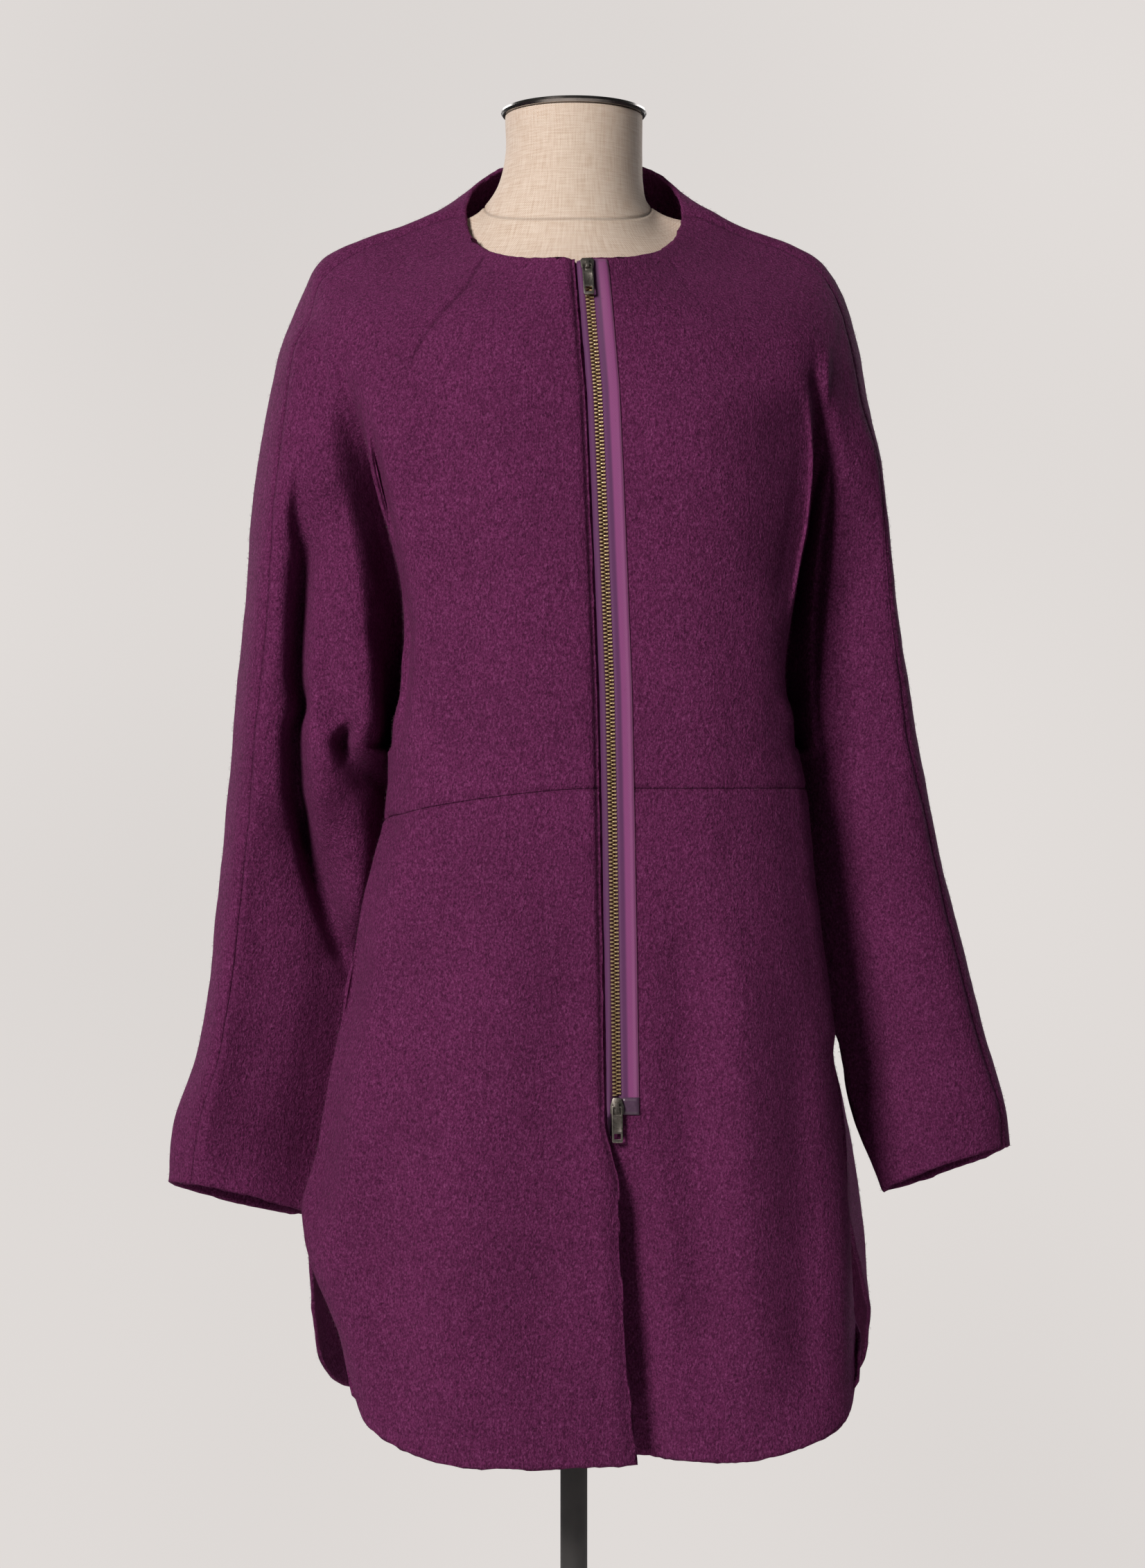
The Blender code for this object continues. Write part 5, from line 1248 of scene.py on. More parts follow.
def boiled_wool(colours, sizes):
    """Boiled wool, knitted and felted: matt, with a curly pile of light and dark fibres, painted shade
    between the curls and along the seams, and a rim sheen.
    """
    material, tree, shader = new_material("boiled_wool_felted")
    place = add_node(tree, "TexCoord").outputs["Object"]
    # The curls hang a little longer than they are wide
    spot = add_node(tree, "Mapping", {"Vector": place, "Scale": (1.0, 1.0, 0.62)})
    curl_scale = 1.0 / sizes.curl
    curls = add_node(tree, "TexNoise", {
        "Vector": spot, "Scale": curl_scale, "Detail": 3.0, "Roughness": 0.62, "Distortion": 0.5})
    fibres = add_node(tree, "TexNoise", {
        "Vector": spot, "Scale": 2.7 * curl_scale, "Detail": 2.0, "Roughness": 0.7})
    tufts = add_node(tree, "TexNoise", {
        "Vector": spot, "Scale": 0.36 * curl_scale, "Detail": 2.0, "Roughness": 0.6, "Distortion": 0.9})
    # The dye is uneven in clouds about 60 mm wide
    clouds = add_node(tree, "TexNoise", {"Vector": place, "Scale": 16.0, "Detail": 3.0})
    # The same curls raise the bump, so the felt is darker where they lie low and lighter on their tips:
    # partly its own light and dark fibres, partly painted shade and painted light
    stops = ((0.33, colours.wool_dark), (0.52, colours.wool_main), (0.72, colours.wool_light))
    pile = add_node(tree, "ValToRGB", {"Fac": curls}, stops)
    flecks = add_node(tree, "MapRange", {
        "Value": fibres, "From Min": 0.62, "From Max": 0.78, "To Max": 0.42})
    flecked = add_node(tree, "Mix", data_type="RGBA")
    set_inputs(tree, flecked, {"Factor": flecks, "A": pile, "B": opaque(colours.wool_light)})
    tone = add_node(tree, "MapRange", {
        "Value": clouds, "From Min": 0.3, "From Max": 0.7, "To Min": 0.92, "To Max": 1.07})
    # Painted shade along the seams, stitching, darts and hem line darkens the felt
    seam = add_node(tree, "Attribute", attribute_name="seam_shade").outputs["Fac"]
    light = add_node(tree, "Math", {0: 1.0, 1: seam}, operation="SUBTRACT")
    # Raised tufts are drawn lighter and low ones darker: partly clumps of fibre, partly painted light and
    # shade
    tuft_tone_and_painted_shade = add_node(tree, "MapRange", {
        "Value": tufts, "From Min": 0.34, "From Max": 0.66, "To Min": 0.87, "To Max": 1.15})
    tone_with_painted_shade = add_node(tree, "Math", {0: tone, 1: light}, operation="MULTIPLY")
    toned = add_node(tree, "Math", {0: tone_with_painted_shade, 1: tuft_tone_and_painted_shade}, operation="MULTIPLY")
    colour = add_node(tree, "VectorMath", {0: flecked.outputs["Result"], "Scale": toned}, operation="SCALE")
    height = add_node(tree, "Math", {0: fibres, 1: 0.35, 2: curls}, operation="MULTIPLY_ADD")
    heaped = add_node(tree, "Math", {0: tufts, 1: 1.4, 2: height}, operation="MULTIPLY_ADD")
    bump = add_node(tree, "Bump", {"Height": heaped, "Strength": 0.75, "Distance": 0.0017})
    set_inputs(tree, shader, {
        "Base Color": colour, "Normal": bump, "Roughness": 0.95, "Specular IOR Level": 0.12,
        "Sheen Weight": 0.22, "Sheen Roughness": 0.5, "Sheen Tint": opaque(colours.wool_light)})
    return material


def wool_fibre(colours):
    """Loose wool hairs: single fibres that stand off the felt, some drawn lighter at random as painted light
    on hairs that catch the light.
    """
    material, tree, shader = new_material("wool_fibre_loose")
    place = add_node(tree, "TexCoord").outputs["Object"]
    # The tint changes about every 3 mm, so from hair to hair; its lightest end is painted light on hairs
    # that catch the light
    tint = add_node(tree, "TexNoise", {"Vector": place, "Scale": 300.0, "Detail": 1.0})
    stops = ((0.35, colours.wool_dark), (0.55, colours.wool_main), (0.70, colours.wool_fibre))
    colour = add_node(tree, "ValToRGB", {"Fac": tint}, stops)
    set_inputs(tree, shader, {
        "Base Color": colour, "Roughness": 0.8, "Specular IOR Level": 0.2, "Sheen Weight": 0.2})
    return material


def zip_tape(colours):
    """Polyester zip tape, woven in a herringbone twill: fine slanted ribs and a satin lilac face."""
    material, tree, shader = new_material("zip_tape_herringbone_twill")
    parts = add_node(tree, "SeparateXYZ", {"Vector": add_node(tree, "UVMap", uv_map="tape")})
    across = parts.outputs["X"]
    offset = add_node(tree, "Math", {0: across, 1: TAPE_CHEVRON}, operation="SUBTRACT")
    slant = add_node(tree, "Math", {0: offset}, operation="ABSOLUTE")
    phase = add_node(tree, "Math", {0: parts.outputs["Y"], 1: slant}, operation="SUBTRACT")
    turns = add_node(tree, "Math", {0: phase, 1: 2.0 * math.pi / TWILL_PITCH}, operation="MULTIPLY")
    rib = add_node(tree, "Math", {0: turns}, operation="SINE")
    band = add_node(tree, "MapRange", {"Value": across, "From Min": 0.0, "From Max": TAPE_FAR})
    stops = ((0.46, colours.tape_purple), (0.56, colours.tape_lilac),
             (0.945, colours.tape_lilac), (0.965, colours.tape_edge))
    face = add_node(tree, "ValToRGB", {"Fac": band}, stops)
    shade = add_node(tree, "MapRange", {
        "Value": rib, "From Min": -1.0, "From Max": 1.0, "To Min": 0.62, "To Max": 1.12})
    colour = add_node(tree, "VectorMath", {0: face, "Scale": shade}, operation="SCALE")
    bump = add_node(tree, "Bump", {"Height": rib, "Strength": 0.5, "Distance": 0.0002})
    set_inputs(tree, shader, {
        "Base Color": colour, "Normal": bump, "Roughness": 0.55, "Specular IOR Level": 0.35,
        "Sheen Weight": 0.1})
    return material


def tape_film(colours):
    """Heat-sealed film on the tape's end: thin, smooth and greyish over the woven lilac."""
    material, tree, shader = new_material("tape_end_film_heat_sealed")
    place = add_node(tree, "TexCoord").outputs["Object"]
    # Clouds about 2 mm wide
    cloud = add_node(tree, "TexNoise", {"Vector": place, "Scale": 500.0, "Detail": 2.0})
    darker = tuple(0.75 * value for value in colours.film_grey)
    colour = add_node(tree, "ValToRGB", {"Fac": cloud}, ((0.35, darker), (0.65, colours.film_grey)))
    set_inputs(tree, shader, {
        "Base Color": colour, "Roughness": 0.35, "Coat Weight": 0.3, "Coat Roughness": 0.3})
    return material


def worn_metal(name, bright, dark, roughness, grain):
    """Plated or polished metal: bright, with duller and darker cloudy patches."""
    material, tree, shader = new_material(name)
    place = add_node(tree, "TexCoord").outputs["Object"]
    patina = add_node(tree, "TexNoise", {
        "Vector": place, "Scale": 1.0 / grain, "Detail": 4.0, "Roughness": 0.65})
    colour = add_node(tree, "ValToRGB", {"Fac": patina}, ((0.34, dark), (0.58, bright)))
    rough = add_node(tree, "MapRange", {
        "Value": patina, "From Min": 0.3, "From Max": 0.7,
        "To Min": roughness * 1.5, "To Max": roughness * 0.8})
    set_inputs(tree, shader, {"Base Color": colour, "Roughness": rough, "Metallic": 1.0})
    return material


def linen_cover(colours):
    """Plain-woven linen pulled tight over the form: crossing threads with thick slubs, quite matt."""
    material, tree, shader = new_material("linen_plain_weave")
    flat = add_node(tree, "UVMap", uv_map="cloth")
    parts = add_node(tree, "SeparateXYZ", {"Vector": flat})
    # Threads really lie about a third as far apart; they are drawn coarser so that they show
    per_metre = 2.0 * math.pi / THREAD_SPACING
    # Slubs are about 1 mm thick and 17 mm long
    slubs = []
    waves = []
    for axis, scale in (("X", (900.0, 60.0, 1.0)), ("Y", (60.0, 900.0, 1.0))):
        drawn = add_node(tree, "Mapping", {"Vector": flat, "Scale": scale})
        slubs.append(add_node(tree, "TexNoise", {"Vector": drawn, "Scale": 1.0, "Detail": 3.0}))
        threads = add_node(tree, "Math", {0: parts.outputs[axis], 1: per_metre}, operation="MULTIPLY")
        waves.append(add_node(tree, "Math", {0: threads}, operation="SINE"))
    weave = add_node(tree, "Math", {0: waves[0], 1: waves[1]}, operation="MULTIPLY")
    slub = add_node(tree, "Math", {0: slubs[0], 1: slubs[1]}, operation="ADD")
    mix = add_node(tree, "Math", {0: weave, 1: 0.46, 2: slub}, operation="MULTIPLY_ADD")
    level = add_node(tree, "MapRange", {"Value": mix, "From Min": 0.30, "From Max": 1.60})
    stops = ((0.15, colours.linen_dark), (0.75, colours.linen_light))
    thread = add_node(tree, "ValToRGB", {"Fac": level}, stops)
    # Painted shade along the neck seam darkens the linen
    seam = add_node(tree, "Attribute", attribute_name="seam_shade").outputs["Fac"]
    light = add_node(tree, "Math", {0: 1.0, 1: seam}, operation="SUBTRACT")
    colour = add_node(tree, "VectorMath", {0: thread, "Scale": light}, operation="SCALE")
    bump = add_node(tree, "Bump", {"Height": mix, "Strength": 0.35, "Distance": 0.0004})
    set_inputs(tree, shader, {
        "Base Color": colour, "Normal": bump, "Roughness": 0.9, "Specular IOR Level": 0.2,
        "Sheen Weight": 0.08})
    return material


def black_paint(colours):
    """Powder-coated steel: satin black with a faint orange peel and dusty, greyer patches."""
    material, tree, shader = new_material("powder_coated_steel_satin")
    place = add_node(tree, "TexCoord").outputs["Object"]
    # Peel about 1.4 mm wide, and dust in patches of about 45 mm
    peel = add_node(tree, "TexNoise", {"Vector": place, "Scale": 700.0, "Detail": 1.0})
    dust = add_node(tree, "TexNoise", {"Vector": place, "Scale": 22.0, "Detail": 5.0})
    stops = ((0.40, colours.paint_black), (0.72, colours.paint_worn))
    colour = add_node(tree, "ValToRGB", {"Fac": dust}, stops)
    rough = add_node(tree, "MapRange", {
        "Value": dust, "From Min": 0.3, "From Max": 0.7, "To Min": 0.30, "To Max": 0.48})
    bump = add_node(tree, "Bump", {"Height": peel, "Strength": 0.15, "Distance": 0.0003})
    set_inputs(tree, shader, {"Base Color": colour, "Roughness": rough, "Normal": bump})
    return material


def floor_paper(colours):
    """Seamless studio paper on the floor: pale, warm and matt with a barely uneven tone."""
    material, tree, shader = new_material("studio_paper_seamless")
    place = add_node(tree, "TexCoord").outputs["Object"]
    # The tone changes over more than a metre
    cloud = add_node(tree, "TexNoise", {"Vector": place, "Scale": 0.8, "Detail": 2.0})
    darker = tuple(0.95 * value for value in colours.paper)
    colour = add_node(tree, "ValToRGB", {"Fac": cloud}, ((0.3, darker), (0.7, colours.paper)))
    set_inputs(tree, shader, {"Base Color": colour, "Roughness": 0.95, "Specular IOR Level": 0.1})
    return material


def add_uv(item, name, places):
    """Gives a mesh a flat map from one place for each of its points."""
    mesh = item.data
    layer = mesh.uv_layers.new(name=name)
    corners = np.zeros(len(mesh.loops), dtype=np.int32)
    mesh.loops.foreach_get("vertex_index", corners)
    layer.uv.foreach_set("vector", np.asarray(places, dtype=np.float32)[corners].ravel())


class ClosingEdge:
    """One front's surface beside its closing edge, read at any height and at set distances from the edge."""

    def __init__(self, front, skirt, reaches):
        heights, places, outs = [], [], []
        for panel, rows in ((front, front.rows), (skirt, skirt.rows[1:])):
            for row in rows:
                line = panel.points[row[:EDGE_POINTS]]
                out = panel.normals[row[:EDGE_POINTS]]
                steps = np.linalg.norm(np.diff(line, axis=0), axis=1)
                along = np.concatenate(((0.0,), np.cumsum(steps)))
                heights.append(line[0][2])
                for table, values in ((places, line), (outs, out)):
                    columns = [np.interp(reaches, along, values[:, axis]) for axis in range(3)]
                    table.append(np.stack(columns, axis=1))
        order = np.argsort(heights)
        self.heights = np.array(heights)[order]
        self.places = np.array(places)[order]
        self.outs = np.array(outs)[order]

    def read(self, table, z):
        """Value of a table of rows at a height."""
        place = np.interp(z, self.heights, np.arange(len(self.heights)))
        index = min(int(place), len(self.heights) - 2)
        share = place - index
        return table[index] * (1.0 - share) + table[index + 1] * share

    def at(self, z):
        """Points beside the edge and their outward directions at a height."""
        out = self.read(self.outs, z)
        return self.read(self.places, z), out / np.linalg.norm(out, axis=1)[:, None]


def zip_frame(edge, z):
    """Middle of the zip at a height: point, level direction to the viewer's right, down and out."""
    here = edge.at(z)[0][0]
    below = edge.at(z - FRAME_REACH)[0][0]
    above = edge.at(z + FRAME_REACH)[0][0]
    down = (below - above) / np.linalg.norm(below - above)
    across = np.array((1.0, 0.0, 0.0))
    across = across - down * (across @ down)
    across = across / np.linalg.norm(across)
    return here - across * EDGE_SHIFT["left"][0], across, down, np.cross(down, across)


def strip(front_rows, back_rows):
    """Points and faces of a closed strip from rows of front points and rows of back points."""
    front = np.array(front_rows)
    back = np.array(back_rows)
    rows, across = front.shape[:2]
    half = rows * across
    points = np.vstack((front.reshape(-1, 3), back.reshape(-1, 3)))
    numbers = np.arange(half).reshape(rows, across)
    quads = grid_quads(numbers)
    faces = quads.tolist() + (quads[:, ::-1] + half).tolist()
    for first, second in boundary_edges(quads):
        faces.append((second, first, first + half, second + half))
    return points, faces


@lru_cache(maxsize=None)
def material_for(name):
    """The one shared material of a kind."""
    colours = bpy.context.scene.coat_colours
    if name == "boiled_wool":
        return boiled_wool(colours, bpy.context.scene.coat_sizes)
    if name in METALS:
        metal = METALS[name]
        bright = getattr(colours, metal.bright)
        dark = getattr(colours, metal.dark)
        return worn_metal(metal.finish, bright, dark, metal.roughness, metal.grain)
    makers = {
        "wool_fibre": wool_fibre,
        "zip_tape": zip_tape,
        "tape_film": tape_film,
        "linen": linen_cover,
        "black_paint": black_paint,
        "paper": floor_paper,
    }
    return makers[name](colours)


def store_painted_seam_shade(item, shade):
    """Stores how much painted shade darkens each point along the sewn lines, for the material to read."""
    marks = item.data.attributes.new("seam_shade", "FLOAT", "POINT")
    marks.data.foreach_set("value", shade.astype(np.float32).ravel())


def add_cloth():
    """Six cloth shells with rolled seams, edge stitching and fuzzy free edges."""
    panels, uses = cloth_panels()
    thickness = bpy.context.scene.coat_sizes.cloth
    for panel, use in zip(panels, uses):
        points, faces, shade = shell(panel, use, thickness)
        item = add_piece(panel.name + "_cloth", points, faces, material_for("boiled_wool"))
        # Painted shade along the seams, stitching, darts and hem line, for the wool to read
        store_painted_seam_shade(item, shade)
        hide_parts(panel.name)


def hair_roots(draw, count):
    """Roots spread evenly over the coat's outside, the way out at each and two ways along the cloth."""
    panels, _ = cloth_panels()
    roots, outs, weights = [], [], []
    for panel in panels:
        quads = panel.quads()
        corner = panel.points[quads]
        area = np.linalg.norm(np.cross(corner[:, 2] - corner[:, 0], corner[:, 3] - corner[:, 1]), axis=1)
        roots.append(corner.mean(axis=1))
        outs.append(panel.normals[quads].mean(axis=1))
        weights.append(area)
    roots, outs, weights = np.concatenate(roots), np.concatenate(outs), np.concatenate(weights)
    picked = draw.choice(len(roots), size=count, p=weights / weights.sum())
    root = roots[picked] + draw.normal(0.0, HAIR_ROOT, (count, 3))
    out = outs[picked]
    out = out / np.linalg.norm(out, axis=1)[:, None]
    root = root - out * (HAIR_ROOT + ((root - roots[picked]) * out).sum(axis=1))[:, None]
    lean = draw.normal(0.0, 1.0, (count, 3))
    lean = lean - out * (lean * out).sum(axis=1)[:, None]
    lean = lean / np.linalg.norm(lean, axis=1)[:, None]
    return root, out, lean, np.cross(out, lean)


def add_nap():
    """Short bristling hairs all over the wool, which make its outline fuzzy."""
    count = NAP_COUNT
    draw = np.random.default_rng(NAP_SEED)
    root, out, lean, side = hair_roots(draw, count)
    length = draw.uniform(*NAP_LONG, count)[:, None]
    tip = root + out * (HAIR_ROOT + NAP_RISE * length)
    tip += lean * draw.uniform(*NAP_LEAN, count)[:, None] * length
    corners = []
    for turn in THREE_TURNS:
        corners.append(root + NAP_HALF * (math.cos(turn) * lean + math.sin(turn) * side))
    points = np.stack(corners + [tip], axis=1).reshape(-1, 3)
    spike = np.array(((0, 2, 1), (0, 1, 3), (1, 2, 3), (2, 0, 3)))
    faces = (spike[None] + 4 * np.arange(count)[:, None, None]).reshape(-1, 3)
    item = add_piece("wool_nap", points, faces.tolist(), material_for("wool_fibre"))


def add_fibres():
    """Loose hairs standing off the wool, each bent over once."""
    sizes = bpy.context.scene.coat_sizes
    count = sizes.fibre_count
    draw = np.random.default_rng(FIBRE_SEED)
    root, out, lean, side = hair_roots(draw, count)
    length = draw.uniform(sizes.fibre_short, sizes.fibre_long, count)[:, None]
    middle = root + out * (HAIR_ROOT + FIBRE_RISE * length) + lean * FIBRE_LEAN * length
    sway = draw.normal(0.0, FIBRE_SWAY, (count, 1))
    tip = root + out * (HAIR_ROOT + FIBRE_TIP_RISE * length) + (lean + side * sway) * length
    rings = []
    for centre in (root, middle):
        for turn in THREE_TURNS:
            rings.append(centre + sizes.fibre_half * (math.cos(turn) * side + math.sin(turn) * out))
    points = np.stack(rings + [tip], axis=1).reshape(-1, 3)
    faces = []
    for index in range(count):
        low = 7 * index
        high = low + 3
        faces.append((low + 2, low + 1, low))
        for step, after in ((0, 1), (1, 2), (2, 0)):
            faces.append((low + step, low + after, high + after, high + step))
            faces.append((high + step, high + after, high + 3))
    item = add_piece("wool_fibres", points, faces, material_for("wool_fibre"))


def add_facings():
    """Wool strips behind the pocket slits, on the skirts' points moved inward."""
    for skirt in cloth_panels()[0]:
        if not skirt.name.startswith("skirt"):
            continue
        name = "pocket_facing_" + skirt.side
        heights = skirt.points[skirt.rows[:, -2], 2]
        beside = (heights > POCKET_BOTTOM - FACING_PAST) & (heights < POCKET_TOP + FACING_PAST)
        rows = skirt.rows[beside]
        places = skirt.points[rows]
        steps = np.linalg.norm(np.diff(places, axis=1), axis=2).mean(axis=0)
        reach = np.cumsum(steps[::-1])[::-1]
        first = int(np.argmax(reach < CUTS[name].width))
        edge = places[:, -2] + (places[:, -2] - places[:, -3]) * FACING_SHARE
        places = np.concatenate((places[:, first:-1], edge[:, None]), axis=1)
        outs = skirt.normals[rows[:, first:]]
        front = places - outs * FACING_DEPTH
        back = places - outs * (FACING_DEPTH + FACING_THICK)
        if skirt.side == "right":
            front = front[:, ::-1]
            back = back[:, ::-1]
        points, faces = strip(front, back)
        item = add_piece(name + "_cloth", points, faces, material_for("boiled_wool"))
        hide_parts(name)


@lru_cache(maxsize=None)
def closing_edges():
    """Both fronts' surfaces beside the closing line."""
    panels = {panel.name: panel for panel in cloth_panels()[0]}
    reaches = [TAPE_NEAR - EDGE_SHIFT["left"][0] + share * (TAPE_FAR - TAPE_NEAR) for share in TAPE_SHARES]
    left = ClosingEdge(panels["front_left"], panels["skirt_left"], [0.0] + reaches)
    right = ClosingEdge(panels["front_right"], panels["skirt_right"], [0.0, TAPE_HIDDEN])
    return left, right


def tape_heights():
    """Heights of the zip from its top end to its bottom end."""
    top = closing_edges()[0].heights[-1] - ZIP_TOP_DROP
    return np.linspace(top, ZIP_END_Z, int((top - ZIP_END_Z) / TAPE_STEP))


def add_tapes():
    """Two woven zip tapes, one lying on the left front and one going under the right front's edge."""
    left, right = closing_edges()
    heights = tape_heights()
    front, back, flat = [], [], []
    for z in heights:
        places, outs = left.at(z)
        middle, across, _, out = zip_frame(left, z)
        inner = np.array([middle + across * reach - out * TAPE_SINK for reach in (TAPE_MEET, CHAIN_HALF)])
        front.append(np.vstack((inner, places[1:] + outs[1:] * (TAPE_LIFT + TAPE_THICK))))
        back.append(np.vstack((inner - out * TAPE_THICK, places[1:] + outs[1:] * TAPE_LIFT)))
        flat.append([(0.0, z), (CHAIN_HALF, z)])
        flat[-1] += [(TAPE_NEAR + share * (TAPE_FAR - TAPE_NEAR), z) for share in TAPE_SHARES]
    points, faces = strip(front, back)
    item = add_piece("zip_tape_left_woven", points, faces, material_for("zip_tape"))
    flat = np.array(flat).reshape(-1, 2)
    finish_tape(item, "zip_tape_left", np.vstack((flat, flat)))
    film = [index for index, z in enumerate(heights) if z < ZIP_END_Z + FILM_LONG]
    raised = np.array(front)[film][:, 2:]
    lifts = np.array([left.at(heights[index])[1][1:] for index in film])
    points, faces = strip(raised + lifts * FILM_LIFT[1], raised + lifts * FILM_LIFT[0])
    patch = add_piece("tape_end_film", points, faces, material_for("tape_film"))
    front, back, flat = [], [], []
    under = CLOTH + 2.0 * TAPE_LIFT
    # Below the chain's end the tape goes on a little, tucked behind both fronts
    tail = ZIP_END_Z - np.arange(0.5 * TAPE_STEP, TAIL_LONG, TAPE_STEP)
    for z in np.concatenate((heights, tail)):
        places, outs = right.at(z)
        middle, across, down, out = zip_frame(left, max(z, ZIP_END_Z))
        beyond = max(ZIP_END_Z - z, 0.0)
        middle = middle + down * beyond - out * TAIL_BACK * ease(np.array(beyond / TAIL_BEND))
        inward = (places[1] - places[0]) / np.linalg.norm(places[1] - places[0])
        path = np.array((
            places[1] - outs[1] * under,
            places[0] - inward * TAPE_TURN - outs[0] * under,
            places[0] - inward * TAPE_TURN - outs[0] * TAPE_SHOW,
            middle - across * TAPE_NEAR + out * TAPE_LIFT,
            middle - across * CHAIN_HALF - out * TAPE_SINK,
            middle - across * TAPE_MEET - out * TAPE_SINK,
        ))
        front.append(path)
        back.append(path - outs[0] * TAPE_THICK)
        flat.append([(reach, z) for reach in TAPE_MAP])
    points, faces = strip(front, back)
    flat = np.array(flat).reshape(-1, 2)
    item = add_piece("zip_tape_right_woven", points, faces, material_for("zip_tape"))
    finish_tape(item, "zip_tape_right", np.vstack((flat, flat)))


def finish_tape(item, name, flat):
    """Gives a tape its flat map and hides the solid it stands for."""
    add_uv(item, "tape", flat)
    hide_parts(name)


def add_teeth():
    """Two rows of stamped brass teeth that take turns down the zip."""
    left, _ = closing_edges()
    sizes = bpy.context.scene.coat_sizes
    heights = tape_heights()
    start = heights[0] - SLIDER_LONG - SLIDER_CLEAR
    end = heights[-1] + SLIDER_LONG + SLIDER_CLEAR
    rows = int((start - end) / sizes.tooth_pitch)
    points, faces = [], []
    sides = len(TOOTH_OUTLINE)
    for row in range(rows):
        for flip, shift in ((1.0, 0.25), (-1.0, 0.75)):
            middle, across, down, out = zip_frame(left, start - (row + shift) * sizes.tooth_pitch)
            first = len(points)
            for level, scale in TOOTH_LEVELS:
                for x, y in TOOTH_OUTLINE:
                    reach = TOOTH_ROOT + (x - TOOTH_ROOT) * (0.5 + 0.5 * scale)
                    points.append(middle + across * flip * reach + down * flip * y * scale + out * level)
            count = len(TOOTH_LEVELS)
            faces.append([first + step for step in range(sides)][::-1])
            faces.append([first + (count - 1) * sides + step for step in range(sides)])
            for level in range(count - 1):
                low = first + level * sides
                high = low + sides
                for step in range(sides):
                    after = (step + 1) % sides
                    faces.append((low + step, low + after, high + after, high + step))
    item = add_piece("zip_teeth", points, faces, material_for("brass_teeth"))
    set_outward(item)
    item.data.set_sharp_from_angle(angle=math.radians(SHARP_ANGLES["tooth"]))
    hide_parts("zip_chain")


def set_outward(item):
    """Turns all faces of closed pieces outward."""
    block = bmesh.new()
    block.from_mesh(item.data)
    bmesh.ops.recalc_face_normals(block, faces=block.faces)
    block.to_mesh(item.data)
    block.free()


def add_sliders():
    """Sliders and their pull tabs with softly broken corners."""
    for name in ("slider_top", "slider_bottom", "pull_top", "pull_bottom"):
        block = bmesh.new()
        block.from_mesh(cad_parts[name].data)
        bmesh.ops.remove_doubles(block, verts=block.verts, dist=JOIN_GAP)
        flat = math.radians(FLAT_ANGLE)
        bmesh.ops.dissolve_limit(block, angle_limit=flat, verts=block.verts, edges=block.edges)
        sharp = math.radians(ROUND_ANGLE)
        corners = [edge for edge in block.edges if edge.calc_face_angle(0.0) > sharp]
        bmesh.ops.bevel(block, geom=corners, offset=CORNER_ROUND, offset_type="OFFSET", segments=2,
                        profile=CORNER_PROFILE, affect="EDGES", clamp_overlap=True)
        bmesh.ops.recalc_face_normals(block, faces=block.faces)
        mesh = bpy.data.meshes.new(name + "_plated")
        block.to_mesh(mesh)
        block.free()
        mesh.shade_smooth()
        mesh.set_sharp_from_angle(angle=math.radians(SHARP_ANGLES["slider"]))
        mesh.materials.clear()
        mesh.materials.append(material_for("gunmetal"))
        item = bpy.data.objects.new(name + "_plated", mesh)
        bpy.context.scene.collection.objects.link(item)
        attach(item, PULL_BODIES.get(name, COAT_BODY))
        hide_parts(name)


def form_ring(row):
    """Points of one ring of the dress form."""
    power = 2.0 / row.square
    angle = 2.0 * math.pi * np.arange(FORM_ROUND) / FORM_ROUND
    sine, cosine = np.sin(angle), np.cos(angle)
    x = np.sign(sine) * row.half_width * np.abs(sine) ** power
    y = np.abs(cosine) ** power * np.where(cosine > 0.0, row.front_y, row.back_y)
    turn = np.degrees(np.arccos(np.clip(cosine, -1.0, 1.0)))
    front = row.front_z + (row.side_z - row.front_z) * (np.clip(turn, 0.0, 90.0) / 90.0) ** row.rise
    back = row.back_z + (row.side_z - row.back_z) * (np.clip(180.0 - turn, 0.0, 90.0) / 90.0) ** row.rise
    return np.stack((x, y, np.where(turn <= 90.0, front, back)), axis=1)


